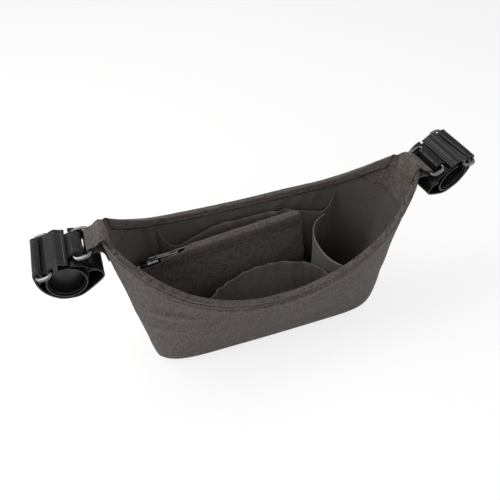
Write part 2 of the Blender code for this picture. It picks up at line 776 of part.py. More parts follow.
def make_zip_stop(name, x, material):
    """A crimped block across both rows, which the slider can't pass."""
    low = TAPE_STAND + GAP
    half = ZIP_MOUTH / 2 + TEETH_WIDTH
    outline = [
        Vector((-STOP_LENGTH / 2, -half, low)),
        Vector((STOP_LENGTH / 2, -half, low)),
        Vector((STOP_LENGTH / 2, half, low)),
        Vector((-STOP_LENGTH / 2, half, low)),
    ]
    return place_on_zip(make_object(name, prism(outline, Vector((0, 0, TEETH_HEIGHT))), material), x)


# Ears, rings and straps


def make_pivot(name, matrix, parent=None):
    empty = bpy.data.objects.new(name, None)
    PART.objects.link(empty)
    empty.parent = parent
    empty.matrix_local = matrix
    return empty


def ribbon(name, path, width, thickness, hand, material, parent):
    """A strap of constant width whose edge-on line is path, in the pivot's (u, w) plane."""
    steps = len(path) - 1

    def place(u, v):
        point = path[round(u * steps)]
        return Vector((hand * point.x, blend(-width / 2, width / 2, v), point.y))

    bm = mapped_grid(steps, 1, place)
    return thicken(make_object(name, bm, material, parent), thickness)


def make_ring(name, pitch, droop, half_width, hand, material, parent):
    """A rounded-oblong wire ring whose first bar is on the pivot and second bar pitch away."""
    corner = min(RING_CORNER, pitch / 2)
    outline = []
    for centre_u, centre_y, start in (
        (pitch - corner, half_width, 0),
        (corner, half_width, 90),
        (corner, -half_width, 180),
        (pitch - corner, -half_width, 270),
    ):
        outline += [
            Vector((centre_u, centre_y)) + point
            for point in arc(Vector((0, 0)), corner, start, start + 90, 5)
        ]
    angle = math.radians(droop)
    points = [
        Vector((hand * point.x * math.cos(angle), point.y, point.x * math.sin(angle)))
        for point in outline
    ]
    return make_cord(name, points, RING_WIRE_RADIUS, material, cyclic=True, parent=parent)


def make_ear_loop(name, hand, yaw, tilt, material):
    """The end of the bag's cloth: it faces the ear inside, rolls over the ring's bar and returns."""
    half = EAR_LOOP_THICKNESS / 2
    roll = RING_WIRE_RADIUS + GAP + half
    wall_top = EAR_HEIGHT - EAR_BAR_Z
    lean = (RIM_HALF_LENGTH - FOOT_HALF_LENGTH) / EAR_HEIGHT

    def wall_u(w, inset):
        return RIM_HALF_LENGTH - inset - lean * (wall_top - w) - EAR_BAR_X

    inner = INSIDE_INSET + 3 * GAP + half
    outer = -2 * GAP - half
    crest = wall_top + BINDING_LIFT + half
    points = [
        Vector((wall_u(wall_top - EAR_LOOP_INSIDE, inner), wall_top - EAR_LOOP_INSIDE)),
        Vector((wall_u(wall_top - EAR_LOOP_INSIDE / 2, inner), wall_top - EAR_LOOP_INSIDE / 2)),
        Vector((wall_u(wall_top, inner), wall_top - half)),
        Vector((wall_u(wall_top, INSIDE_INSET / 2), crest + half / 2)),
        Vector((wall_u(wall_top, outer - half), wall_top)),
        Vector((-roll * EAR_ROLL_LEAD, roll * 1.25)),
    ]
    path = smooth_path(points, 3)
    path += arc(Vector((0, 0)), roll, EAR_ROLL_START, EAR_ROLL_STOP, 10)
    under = -roll - half
    tail = [
        path[-1],
        Vector((-roll * EAR_ROLL_LEAD, -roll * 1.15)),
        Vector((wall_u(under - roll, outer - GAP), under - roll)),
        Vector((wall_u(under - EAR_LOOP_OUTSIDE, outer - GAP), under - EAR_LOOP_OUTSIDE)),
    ]
    path += smooth_path(tail, 4)[1:]
    steps = len(path) - 1
    wall_limit = wall_u(wall_top, outer - half)
    shear = math.tan(math.radians(yaw))
    rise = math.tan(math.radians(tilt))

    def place(u, v):
        point = path[round(u * steps)]
        across = blend(-EAR_LOOP_WIDTH / 2, EAR_LOOP_WIDTH / 2, v)
        follow = max(0.0, min(1.0, 1 - point.x / (wall_limit * 0.95)))
        follow = 1.0 if point.x > -roll * 1.3 else follow
        x = EAR_BAR_X + point.x - shear * across * follow
        z = EAR_BAR_Z + point.y + rise * across * follow
        return Vector((hand * x, STRAP_Y + across, z))

    bm = mapped_grid(steps, 2, place)
    return thicken(make_object(name, bm, material), EAR_LOOP_THICKNESS)


def grip_point(angle, layer):
    """A point about the grip's centre, layer metres outside its clear radius."""
    a = math.radians(angle)
    centre = Vector((GRIP_OUT - INNER_RING_PITCH, -GRIP_DOWN))
    return centre + (GRIP_RADIUS + layer) * Vector((math.cos(a), math.sin(a)))


def grip_arc(start, stop, layer, steps):
    return [grip_point(blend(start, stop, step / steps), layer) for step in range(steps + 1)]


def outer_bar():
    """Place of the outer ring's near bar, under the flap's far end."""
    return grip_point(BAR_ANGLE, FLAP_LAYER - WRAP_RADIUS)


def far_bar():
    angle = math.radians(OUTER_RING_DROOP)
    return outer_bar() + OUTER_RING_PITCH * Vector((math.cos(angle), math.sin(angle)))


def wrap_path():
    """From the flap's stitched end over the outer ring's bar, then once round the handlebar."""
    flap = grip_arc(FLAP_START, BAR_ANGLE + 3, FLAP_LAYER, 6)
    roll = arc(outer_bar(), WRAP_RADIUS, BAR_ANGLE - 4, -38, 7)
    seam = grip_point(GRIP_SEAM_ANGLE, WRAP_LAYER)
    joined = smooth_path([roll[-1], (roll[-1] + grip_point(GRIP_SEAM_ANGLE + 3, WRAP_LAYER)) / 2, seam], 2)
    grip = grip_arc(17, -283, WRAP_LAYER, 30)
    return flap + roll + joined[1:] + grip


def tab_path():
    """From under the hook patch, over the inner ring's bar, then down beside the grip."""
    seat = grip_arc(78, 104, TAB_LAYER, 3)
    roll = arc(Vector((0, 0)), WRAP_RADIUS, 60, 172, 8)
    drop = smooth_path([roll[-1], grip_point(149, TAB_LAYER + 2 * GAP), grip_point(158, TAB_LAYER)], 3)
    return seat + roll + drop[1:] + grip_arc(165, 214, TAB_LAYER, 5)


def belt_path():
    """From beside the tab, round under the grip, to the roll over the outer ring's far bar."""
    start = grip_point(157, TAB_LAYER + STRAP_THICKNESS + 2 * GAP)
    lowest = Vector((GRIP_OUT - INNER_RING_PITCH, -BELT_DROP))
    far = far_bar()
    rise = Vector((far.x, -BELT_DROP))
    middle = [start + Vector(offset) for offset in BELT_BACK_LINE]
    middle += [lowest + Vector(offset) for offset in BELT_UNDER_LINE]
    middle += [rise + Vector(offset) for offset in BELT_RISE_LINE]
    middle.append(far + Vector((WRAP_RADIUS, 0)))
    roll = arc(far, WRAP_RADIUS, 0, BELT_ROLL_STOP, 12)
    beside = far + Vector((WRAP_RADIUS - STRAP_THICKNESS - 2 * GAP, 0))
    tail = [beside + Vector(offset) for offset in BELT_TAIL_LINE]
    return smooth_path(middle, 3) + roll[1:] + tail


def make_grip_liner(name, hand, material, parent):
    """The ribbed lining that grips the handlebar, a cogged band inside the wrap."""
    steps = 2 * LINER_RIBS
    half = STRAP_WIDTH / 2 - LINER_MARGIN

    def place(u, v):
        angle = blend(GRIP_SEAM_ANGLE, GRIP_SEAM_ANGLE - 300, u)
        layer = LINER_THICKNESS * 0.7 - (LINER_RIB if round(u * steps) % 2 else 0)
        point = grip_point(angle, layer)
        return Vector((hand * point.x, blend(-half, half, v), point.y))

    bm = mapped_grid(steps, 1, place)
    return thicken(make_object(name, bm, material, parent), LINER_THICKNESS * 0.5)


def make_strap(label, hand, pose, cloth, leather, metal, rubber, hook):
    """One ear loop, its two rings and the strap with its closing flap."""
    yaw, tilt, ring_lift, swing = pose
    make_ear_loop(f"ear_loop_{label}", hand, yaw, tilt, cloth)
    turn = Matrix.Rotation(math.radians(hand * yaw), 4, "Z") @ Matrix.Rotation(math.radians(tilt), 4, "X")
    place = Matrix.Translation((hand * EAR_BAR_X, STRAP_Y, EAR_BAR_Z))
    ring_pivot = make_pivot(f"{label}_ring_pivot", place @ turn)
    ring_droop = INNER_RING_DROOP + ring_lift
    make_ring(
        f"ring_inner_{label}", INNER_RING_PITCH, ring_droop,
        EAR_LOOP_WIDTH / 2 + RING_SIDE_PLAY, hand, metal, ring_pivot,
    )
    droop = math.radians(ring_droop)
    bar = Vector((hand * INNER_RING_PITCH * math.cos(droop), 0, INNER_RING_PITCH * math.sin(droop)))
    lift = Matrix.Rotation(math.radians(-hand * (ring_lift + swing)), 4, "Y")
    pivot = make_pivot(f"{label}_strap_pivot", Matrix.Translation(bar) @ lift, ring_pivot)
    ribbon(f"strap_tab_{label}", tab_path(), TAB_WIDTH, STRAP_THICKNESS, hand, leather, pivot)
    ribbon(f"strap_belt_{label}", belt_path(), STRAP_WIDTH, STRAP_THICKNESS, hand, leather, pivot)
    ribbon(f"strap_wrap_{label}", wrap_path(), STRAP_WIDTH, STRAP_THICKNESS, hand, leather, pivot)
    near = outer_bar()
    seat = make_pivot(
        f"{label}_outer_ring_seat", Matrix.Translation((hand * near.x, 0, near.y)), pivot
    )
    make_ring(
        f"ring_outer_{label}", OUTER_RING_PITCH, OUTER_RING_DROOP,
        STRAP_WIDTH / 2 + RING_SIDE_PLAY, hand, metal, seat,
    )
    make_grip_liner(f"grip_liner_{label}", hand, rubber, pivot)
    loop_path = grip_arc(76, 99, LOOP_PATCH_LAYER, 4)
    ribbon(f"loop_patch_{label}", loop_path, TAB_WIDTH, PATCH_THICKNESS, hand, hook, pivot)
    hook_path = grip_arc(72, 103, HOOK_PATCH_LAYER, 5)
    ribbon(f"hook_patch_{label}", hook_path, PATCH_WIDTH, PATCH_THICKNESS, hand, hook, pivot)


clear_scene()
PART = make_collection("stroller_organizer")
TOOLS = make_collection("tools")

melange = make_material("melange_cloth", (0.085, 0.074, 0.067), 0.9)
lining_cloth = make_material("lining_cloth", (0.060, 0.053, 0.050), 0.7)
board = make_material("board", (0.10, 0.10, 0.10), 0.8)
leather = make_material("black_leatherette", (0.020, 0.020, 0.021), 0.42)
steel = make_material("satin_steel", (0.60, 0.60, 0.61), 0.28, 1.0)
gunmetal = make_material("dark_gunmetal", (0.10, 0.10, 0.10), 0.30, 1.0)
tape_weave = make_material("zip_tape_weave", (0.018, 0.018, 0.018), 0.85)
rubber = make_material("ribbed_rubber", (0.012, 0.012, 0.012), 0.6)
hook = make_material("hook_tape", (0.015, 0.015, 0.015), 0.95)

make_tub("outer_shell", 0.0, 0.0, SHELL_THICKNESS, melange)
make_tub("lining", LINING_INSET, LINING_FLOOR, LINING_THICKNESS, lining_cloth)
make_base_board(board)
make_binding("front_rim_binding", -1, melange)
make_binding("back_rim_binding", 1, melange)

make_front_pocket(lining_cloth)
make_back_pocket(lining_cloth)
make_bottle_pocket(lining_cloth)
make_bottle_piping(lining_cloth)
make_zip_panel("zip_pocket_front", -1, melange)
make_zip_panel("zip_pocket_back", 1, lining_cloth)

for side_name, side in (("front", -1), ("back", 1)):
    make_zip_tape(f"zip_tape_{side_name}", side, tape_weave)
    make_zip_teeth(f"zip_teeth_{side_name}", side, gunmetal)
make_zip_slider(gunmetal)
make_zip_pull(gunmetal)
make_zip_stop("zip_stop_left", ZIP_START_X - STOP_LENGTH / 2 - GAP, gunmetal)
make_zip_stop("zip_stop_right", ZIP_END_X + STOP_LENGTH / 2 + GAP, gunmetal)

make_strap("left", -1, LEFT_POSE, melange, leather, steel, rubber, hook)
make_strap("right", 1, RIGHT_POSE, melange, leather, steel, rubber, hook)
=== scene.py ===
import math

import bmesh
import bpy
from mathutils import Matrix, Vector, noise
from mathutils.bvhtree import BVHTree


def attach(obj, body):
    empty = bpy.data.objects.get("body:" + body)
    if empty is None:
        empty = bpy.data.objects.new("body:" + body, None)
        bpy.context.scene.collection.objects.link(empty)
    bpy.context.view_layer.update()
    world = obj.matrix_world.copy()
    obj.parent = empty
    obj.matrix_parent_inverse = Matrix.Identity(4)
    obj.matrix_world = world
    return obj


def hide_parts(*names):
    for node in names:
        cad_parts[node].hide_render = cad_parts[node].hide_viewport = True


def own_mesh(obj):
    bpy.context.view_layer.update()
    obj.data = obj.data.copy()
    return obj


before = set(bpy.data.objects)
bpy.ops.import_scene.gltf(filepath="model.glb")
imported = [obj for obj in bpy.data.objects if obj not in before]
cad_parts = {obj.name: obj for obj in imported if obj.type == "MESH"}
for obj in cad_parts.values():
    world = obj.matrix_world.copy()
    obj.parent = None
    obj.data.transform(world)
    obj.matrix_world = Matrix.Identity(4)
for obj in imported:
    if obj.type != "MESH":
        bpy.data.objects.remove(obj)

# The same noise in every run: the creases of all soft pieces come from it.
noise.seed_set(7)

scene = bpy.context.scene
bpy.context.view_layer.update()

# The set: a white table, one big soft lamp over the left shoulder, weaker ones in front and at
# the right, and an even white room, with the camera looking down into the bag's mouth.
camera = bpy.data.objects.new("camera", bpy.data.cameras.new("camera"))
camera.data.sensor_width = 36
camera.data.lens = 36.93
camera_turn = math.radians(19.2)
camera_dip = math.radians(45.94)
camera_right = Vector((math.cos(camera_turn), -math.sin(camera_turn), 0))
camera_ahead = Vector((
    math.sin(camera_turn) * math.cos(camera_dip),
    math.cos(camera_turn) * math.cos(camera_dip),
    -math.sin(camera_dip),
))
camera_axes = Matrix((camera_right, camera_right.cross(camera_ahead), -camera_ahead)).transposed()
camera.matrix_world = Matrix.Translation((-0.14807, -0.37401, 0.53394)) @ camera_axes.to_4x4()
scene.collection.objects.link(camera)
scene.camera = camera


def hang_lamp(name, place, size, power, colour):
    lamp = bpy.data.lights.new(name, "AREA")
    lamp.shape = "DISK"
    lamp.size = size
    lamp.energy = power
    lamp.color = colour
    obj = bpy.data.objects.new(name, lamp)
    aim = (Vector((0, 0, 0.1)) - Vector(place)).to_track_quat("-Z", "Y")
    obj.matrix_world = Matrix.Translation(place) @ aim.to_matrix().to_4x4()
    scene.collection.objects.link(obj)


hang_lamp("key_lamp", (-0.70, 0.30, 1.20), 0.9, 11.0, (1.0, 0.985, 0.96))
hang_lamp("fill_lamp", (0.90, -0.60, 0.90), 0.8, 3.0, (0.97, 0.985, 1.0))
hang_lamp("front_lamp", (-0.60, -0.90, 0.80), 0.7, 2.0, (1.0, 1.0, 1.0))
hang_lamp("left_lamp", (-1.20, -0.05, 0.62), 0.40, 4.0, (1.0, 1.0, 1.0))


def feed(tree, node, feeds):
    """Gives the node's inputs, by name or number, values or other nodes' sockets."""
    for label, value in feeds.items():
        if isinstance(value, bpy.types.NodeSocket):
            tree.links.new(value, node.inputs[label])
        else:
            node.inputs[label].default_value = value


def node_into(tree, kind, feeds=None, **settings):
    """A new node in the tree with its settings, and with what feeds its inputs."""
    made = tree.nodes.new("ShaderNode" + kind)
    for label, value in settings.items():
        setattr(made, label, value)
    feed(tree, made, feeds or {})
    return made


def reckoned(tree, operation, *values, **settings):
    """The outcome of a math node."""
    feeds = dict(enumerate(values))
    return node_into(tree, "Math", feeds, operation=operation, **settings).outputs[0]


def ranged(tree, value, low, high, start, stop):
    """The value, carried from the range low to high over to the range start to stop."""
    feeds = {"Value": value, "From Min": low, "From Max": high, "To Min": start, "To Max": stop}
    return node_into(tree, "MapRange", feeds).outputs["Result"]


def finish_of(name, roughness, specular=0.35, metallic=0.0):
    """A new material, its node tree and its shader."""
    made = bpy.data.materials.new(name)
    made.use_nodes = True
    skin = made.node_tree.nodes["Principled BSDF"]
    shine = {"Roughness": roughness, "Specular IOR Level": specular, "Metallic": metallic}
    feed(made.node_tree, skin, shine)
    return made, made.node_tree, skin


room = bpy.data.worlds.new("white_room")
room.use_nodes = True
scene.world = room
room_tree = room.node_tree
room_rays = node_into(room_tree, "LightPath").outputs
room_seen = reckoned(room_tree, "MAXIMUM", room_rays["Is Camera Ray"], room_rays["Is Glossy Ray"])
room_level = ranged(room_tree, room_seen, 0.0, 1.0, 0.50, 1.0)
feed(room_tree, room_tree.nodes["Background"], {"Color": (1, 1, 1, 1), "Strength": room_level})
scene.view_settings.view_transform = "Standard"

table_top = bmesh.new()
bmesh.ops.create_grid(table_top, x_segments=1, y_segments=1, size=3.0)
table = bpy.data.objects.new("table", bpy.data.meshes.new("table"))
table_top.to_mesh(table.data)
table_top.free()
scene.collection.objects.link(table)
paper, paper_tree, paper_skin = finish_of("white_paper", 0.9, 0.5)
feed(paper_tree, paper_skin, {"Base Color": (0.93, 0.93, 0.93, 1)})
paper_rays = node_into(paper_tree, "LightPath").outputs
paper_share = reckoned(paper_tree, "MULTIPLY", paper_rays["Is Camera Ray"], 0.75)
paper_glow = node_into(paper_tree, "Emission", {"Color": (1, 1, 1, 1), "Strength": 1.0})
paper_feeds = {0: paper_share, 1: paper_skin.outputs[0], 2: paper_glow.outputs[0]}
paper_mix = node_into(paper_tree, "MixShader", paper_feeds)
feed(paper_tree, paper_tree.nodes["Material Output"], {"Surface": paper_mix.outputs[0]})
table.data.materials.append(paper)


# Base board: a stiff grey fibre insert that keeps the bottom flat. It lies between the outer
# cloth and the lining and is cut a little smaller than the foot of the bag.
def effect(name, wanted, given):
    """A node group with named sockets only, what comes into it, and the node that ends it."""
    group = bpy.data.node_groups.new(name, "ShaderNodeTree")
    for label, kind, *value in wanted:
        socket = group.interface.new_socket(label, in_out="INPUT", socket_type="NodeSocket" + kind)
        if value:
            socket.default_value = value[0]
    for label, kind in given:
        group.interface.new_socket(label, in_out="OUTPUT", socket_type="NodeSocket" + kind)
    return group, group.nodes.new("NodeGroupInput").outputs, group.nodes.new("NodeGroupOutput")


def raise_surface(tree, skin, height, distance, strength):
    feeds = {"Height": height, "Distance": distance, "Strength": strength}
    feed(tree, skin, {"Normal": node_into(tree, "Bump", feeds).outputs["Normal"]})


def noisy(tree, **feeds):
    """The value of a noise texture."""
    return node_into(tree, "TexNoise", feeds).outputs["Fac"]


def scaled(tree, vector, factor):
    """The vector or colour times the factor."""
    feeds = {0: vector, "Scale": factor}
    return node_into(tree, "VectorMath", feeds, operation="SCALE").outputs[0]


uneven, uneven_in, uneven_out = effect(
    "uneven_tone",
    (("Place", "Vector"), ("Colour", "Color"), ("Patch Size", "Float"), ("Amount", "Float")),
    (("Colour", "Color"),),
)
patch = noisy(
    uneven, Vector=uneven_in["Place"], Scale=uneven_in["Patch Size"], Detail=4.0, Roughness=0.6)
patch_swing = reckoned(uneven, "SUBTRACT", patch, 0.5)
patch_share = reckoned(uneven, "MULTIPLY", patch_swing, uneven_in["Amount"])
patch_gain = reckoned(uneven, "MULTIPLY_ADD", patch_share, 2.0, 1.0)
feed(uneven, uneven_out, {"Colour": scaled(uneven, uneven_in["Colour"], patch_gain)})


def own_place(tree):
    return node_into(tree, "TexCoord").outputs["Object"]


def toned(tree, colour, patch_size, amount):
    """The colour, a little uneven in patches over the piece."""
    feeds = {"Place": own_place(tree), "Colour": colour, "Patch Size": patch_size, "Amount": amount}
    return node_into(tree, "Group", feeds, node_tree=uneven).outputs["Colour"]


def plain_finish(name, colour, patch_size, amount, roughness, specular=0.35):
    """A new material of one slightly uneven colour, its node tree and its shader."""
    made, tree, skin = finish_of(name, roughness, specular)
    feed(tree, skin, {"Base Color": toned(tree, colour, patch_size, amount)})
    return made, tree, skin


board, board_tree, board_skin = plain_finish(
    "fibre_board", (0.10, 0.098, 0.095, 1), 60.0, 0.25, 0.85)
raise_surface(board_tree, board_skin, noisy(board_tree, Scale=900.0, Detail=3.0), 0.0003, 0.4)
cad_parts["base_board"].data.materials[0] = board


# Outer cloth: one tub of fine melange weave, warm grey-brown, which keeps its shape but creases
# softly under the front rim and at the ends. Its corners are sewn and turned, so no seam shows.
def welded_copy(node):
    """The node's surface with its loose triangles sewn together."""
    shape = bmesh.new()
    shape.from_mesh(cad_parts[node].data)
    bmesh.ops.remove_doubles(shape, verts=shape.verts, dist=1e-6)
    return shape


def paired_copy(node):
    """The same, with its triangles joined in pairs where they lie level."""
    shape = welded_copy(node)
    bmesh.ops.join_triangles(
        shape, faces=shape.faces, angle_face_threshold=0.6, angle_shape_threshold=0.9)
    return shape


def finer_copy(node, levels, fold_angle=50.0):
    """The node's surface made finer, with its folds kept."""
    shape = paired_copy(node)
    layers = shape.edges.layers.float
    hold = layers.get("crease_edge") or layers.new("crease_edge")
    for edge in shape.edges:
        if len(edge.link_faces) == 2 and edge.calc_face_angle(0.0) > math.radians(fold_angle):
            edge[hold] = 0.85
    return refined(shape, node + "_rough", levels)


def refined(shape, name, levels):
    """The shape with its subdivision applied, as a new bmesh."""
    rough = bpy.data.objects.new(name, bpy.data.meshes.new(name))
    shape.to_mesh(rough.data)
    shape.free()
    scene.collection.objects.link(rough)
    finer = rough.modifiers.new("finer", "SUBSURF")
    finer.levels = finer.render_levels = levels
    finished = rough.evaluated_get(bpy.context.evaluated_depsgraph_get())
    done = bpy.data.meshes.new_from_object(finished)
    bpy.data.objects.remove(rough)
    fine = bmesh.new()
    fine.from_mesh(done)
    bpy.data.meshes.remove(done)
    return fine


def smooth_step(low, high, value):
    share = max(0.0, min(1.0, (value - low) / (high - low)))
    return share * share * (3 - 2 * share)


zip_middle = Vector((-0.124, 0.02114, 0.121))
zip_along = Vector((0.99377, 0.111451, 0))
# Each fold: its middle, the way it runs, half its length, half its width, and its push.
folds = (
    ((-0.118, -0.045, 0.115), (0.92, 0, -0.36), 0.042, 0.0042, (0, 0.0012, 0)),
    ((-0.120, -0.043, 0.104), (0.94, 0, -0.30), 0.046, 0.0045, (0, -0.0012, 0)),
    ((-0.122, -0.041, 0.092), (0.96, 0, -0.24), 0.042, 0.0042, (0, 0.0012, 0)),
    ((-0.132, -0.034, 0.076), (0.95, 0, -0.22), 0.026, 0.0055, (0, -0.0014, 0)),
    ((-0.072, -0.056, 0.092), (0.60, 0, 0.65), 0.020, 0.0045, (0, 0.0016, 0)),
    ((-0.121, 0.0455, 0.134), (0.05, 0.05, 1.0), 0.024, 0.0032, (0, -0.0018, 0)),
    ((-0.112, 0.0475, 0.130), (0.25, 0.05, 1.0), 0.022, 0.0040, (0, 0.0014, 0)),
    ((0.150, -0.026, 0.120), (0.20, 0, -0.95), 0.038, 0.0060, (-0.0012, 0.0008, 0)),
    ((0.135, -0.040, 0.070), (0.55, 0.1, -0.80), 0.036, 0.0065, (0, 0.0012, 0)),
    ((0.030, -0.052, 0.040), (0.97, 0, 0.10), 0.050, 0.0080, (0, 0.0008, 0)),
    ((-0.040, -0.052, 0.055), (0.97, 0, -0.15), 0.050, 0.0090, (0, -0.0007, 0)),
    ((-0.100, 0.055, 0.090), (0.90, 0, -0.40), 0.040, 0.0070, (0, 0.0012, 0)),
    ((0.060, 0.056, 0.070), (0.95, 0, 0.25), 0.060, 0.0080, (0, -0.0010, 0)),
)


def folded(place, creases):
    """The push of a list of folds at a place."""
    push = Vector()
    for middle, way, half_length, half_width, depth in creases:
        off = place - Vector(middle)
        if depth[0] == 0.0:
            off.y *= 0.2
        axis = Vector(way).normalized()
        along = off.dot(axis)
        beside = (off - axis * along).length
        if abs(along) < half_length and beside < 3 * half_width:
            share = (1 - (along / half_length) ** 2) ** 2 * math.exp(-((beside / half_width) ** 2))
            push += Vector(depth) * share
    return push


def crumple(place):
    """How far the bag's cloth lies off its pattern at a place, the same for every layer there."""
    waves = noise.noise_vector(place * 13.0) * 0.0011
    push = waves + noise.noise_vector(place * 34.0 + Vector((3.1, 0.7, 5.2))) * 0.0005
    push.z *= 0.4
    push += folded(place, folds)
    off = place - zip_middle
    along = off.dot(zip_along)
    across = (off - zip_along * along).length
    calm = smooth_step(0.012, 0.040, across) if -0.03 < along < 0.20 else 1.0
    ears = 1.0 - smooth_step(0.146, 0.160, abs(place.x)) * smooth_step(0.150, 0.172, place.z)
    return push * calm * ears * smooth_step(0.0, 0.020, place.z)


def outline_walk():
    """The length of cloth walked round the bag's plan at every degree, from the left end."""
    half_length, half_depth, squareness = 0.156, 0.052, 3.2
    walk = []
    length = 0.0
    last = None
    for step in range(361):
        turn = math.radians(step - 180)
        ray = Vector((math.cos(turn), math.sin(turn)))
        rise = (abs(ray.x) / half_length) ** squareness + (abs(ray.y) / half_depth) ** squareness
        spot = ray / max(1e-9, rise ** (1 / squareness))
        length += (spot - last).length if last else 0.0
        last = spot
        walk.append(length)
    return walk


walked = outline_walk()


def lay_threads(shape, way):
    """A cloth map in metres: round the bag or its rim, flat along a panel, or across."""
    cloth = shape.loops.layers.uv.new("cloth")
    for face in shape.faces:
        flat = abs(face.normal.z) > 0.75
        home = face.calc_center_median()
        for loop in face.loops:
            spot = loop.vert.co
            if flat and way != "rim":
                loop[cloth].uv = (spot.x, spot.y)
            elif way in ("round", "rim"):
                turn = math.degrees(math.atan2(spot.y, spot.x)) + 180
                middle = math.degrees(math.atan2(home.y, home.x)) + 180
                turn += 360 * round((middle - turn) / 360)
                whole = math.floor(turn / 360)
                turn -= 360 * whole
                low = min(359, int(turn))
                length = walked[low] + (walked[low + 1] - walked[low]) * (turn - low)
                height = spot.z + (abs(spot.y) if way == "rim" else 0.0)
                loop[cloth].uv = (length + whole * walked[-1], height)
            elif way == "across":
                loop[cloth].uv = (spot.y, spot.z + spot.x * 0.7)
            else:
                loop[cloth].uv = (spot.x, spot.z)


def set_down(shape, name, materials, body="bag", stands_for=()):
    """The finished piece, riding on its body, and its surface for sewing."""
    for face in shape.faces:
        face.smooth = True
    shape.normal_update()
    surface = BVHTree.FromBMesh(shape)
    piece = bpy.data.objects.new(name, bpy.data.meshes.new(name))
    shape.to_mesh(piece.data)
    shape.free()
    for material in materials:
        piece.data.materials.append(material)
    scene.collection.objects.link(piece)
    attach(piece, body)
    if stands_for:
        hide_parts(*stands_for)
    return piece, surface


def shift_all(shape, how):
    moves = [how(vert.co) for vert in shape.verts]
    for vert, move in zip(shape.verts, moves):
        vert.co += move


def cloth_piece(node, name, levels, how, way, material):
    """The node's surface as cloth that is moved and mapped: the piece and its surface."""
    shape = finer_copy(node, levels)
    shift_all(shape, how)
    lay_threads(shape, way)
    return set_down(shape, name, (material,), stands_for=(node,))


weave, weave_in, weave_out = effect(
    "melange_weave",
    (("Place", "Vector"), ("Pale Yarn", "Color"), ("Dark Yarn", "Color"),
     ("Threads", "Float"), ("Contrast", "Float")),
    (("Colour", "Color"), ("Height", "Float")),
)
weave_size = scaled(weave, weave_in["Place"], weave_in["Threads"])
weave_axes = node_into(weave, "SeparateXYZ", {0: weave_size}).outputs


def yarns(along, across, stretch, fineness, seed):
    """Long thin noise cells, as the shades of single yarns."""
    wide = reckoned(weave, "MULTIPLY", weave_axes[along], stretch)
    thin = reckoned(weave, "MULTIPLY", weave_axes[across], fineness)
    cell = node_into(weave, "CombineXYZ", {0: wide, 1: thin, 2: seed}).outputs[0]
    return noisy(weave, Vector=cell, Scale=1.0, Detail=3.0, Roughness=0.65)


def blended(tree, share, first, second):
    """The first colour at share 0, the second at share 1."""
    feeds = {"Factor": share, 6: first, 7: second}
    return node_into(tree, "Mix", feeds, data_type="RGBA").outputs[2]


warp = yarns(1, 0, 0.070, 0.72, 1.0)
weft = yarns(0, 1, 0.070, 0.72, 0.0)
slub = yarns(0, 1, 0.025, 0.85, 5.0)
twill_sum = reckoned(weave, "ADD", weave_axes[0], weave_axes[1])
twill = reckoned(weave, "SINE", reckoned(weave, "MULTIPLY", twill_sum, math.pi))
warp_rib = reckoned(weave, "COSINE", reckoned(weave, "MULTIPLY", weave_axes[0], 2 * math.pi))
yarn_sum = reckoned(weave, "ADD", warp, weft)
yarn_slub = reckoned(weave, "MULTIPLY_ADD", slub, 0.5, yarn_sum)
yarn_swing = reckoned(weave, "SUBTRACT", yarn_slub, 1.25)
yarn_gain = reckoned(weave, "MULTIPLY", yarn_swing, weave_in["Contrast"])
yarn_twill = reckoned(weave, "MULTIPLY_ADD", twill, 0.16, 0.5)
yarn_shade = reckoned(weave, "MULTIPLY_ADD", yarn_gain, 3.3, yarn_twill, use_clamp=True)
rib_height = reckoned(weave, "MULTIPLY_ADD", warp_rib, 0.3, twill)
feed(weave, weave_out, {
    "Colour": blended(weave, yarn_shade, weave_in["Dark Yarn"], weave_in["Pale Yarn"]),
    "Height": reckoned(weave, "MULTIPLY_ADD", yarn_sum, 1.5, rib_height),
})


def woven(name, pale, dark, threads, contrast, roughness, depth, patchy=0.12):
    """A cloth of dyed yarns that follows the piece's cloth map."""
    made, tree, skin = finish_of(name, roughness, 0.25)
    feeds = {
        "Place": node_into(tree, "UVMap", uv_map="cloth").outputs["UV"],
        "Pale Yarn": pale, "Dark Yarn": dark, "Threads": threads, "Contrast": contrast,
    }
    cloth = node_into(tree, "Group", feeds, node_tree=weave).outputs
    tones = toned(tree, cloth["Colour"], 14.0, patchy)
    feed(tree, skin, {"Base Color": tones, "Sheen Weight": 0.12, "Sheen Roughness": 0.5})
    raise_surface(tree, skin, cloth["Height"], depth, 0.6)
    return made


melange = woven(
    "melange_cloth", (0.112, 0.092, 0.084, 1), (0.026, 0.0205, 0.0185, 1),
    1500.0, 1.0, 0.88, 0.00016)
rim_half, foot_half, ear_height = 0.168, 0.143, 0.203
seam_drop = 0.0096


def rim_place(side, share):
    """Rim and foot at a share of the half length, on the front (-1) or the back (1)."""
    if side < 0:
        half, depth, low, sweep = 0.019, 0.0585, 0.104, 2.1
    else:
        half, depth, low, sweep = 0.015, 0.0625, 0.143, 5.0
    height = low + (ear_height - low) * abs(share) ** sweep
    reach = half + (depth - half) * (1 - abs(share) ** 5.1)
    foot = Vector((foot_half * share, side * (0.020 + 0.018 * (1 - abs(share) ** 10)), 0))
    return Vector((rim_half * share, side * reach, height)), foot


def side_of(place):
    return -1 if place.y < 0 else 1


def rim_share(x, half=rim_half):
    return max(-1.0, min(1.0, x / half))


def below_rim(place):
    """How far down the wall from the rim a place on the front or back wall is."""
    side = side_of(place)
    share = rim_share(place.x)
    for _ in range(3):
        rim, foot = rim_place(side, share)
        down = max(0.0, (rim.z - place.z) / rim.z)
        share = rim_share(place.x, rim_half - (rim_half - foot_half) * down)
    rim, foot = rim_place(side, share)
    return (rim.z - place.z) * (foot - rim).length / rim.z


def mound(value, middle, width):
    return math.exp(-(((value - middle) / width) ** 2))


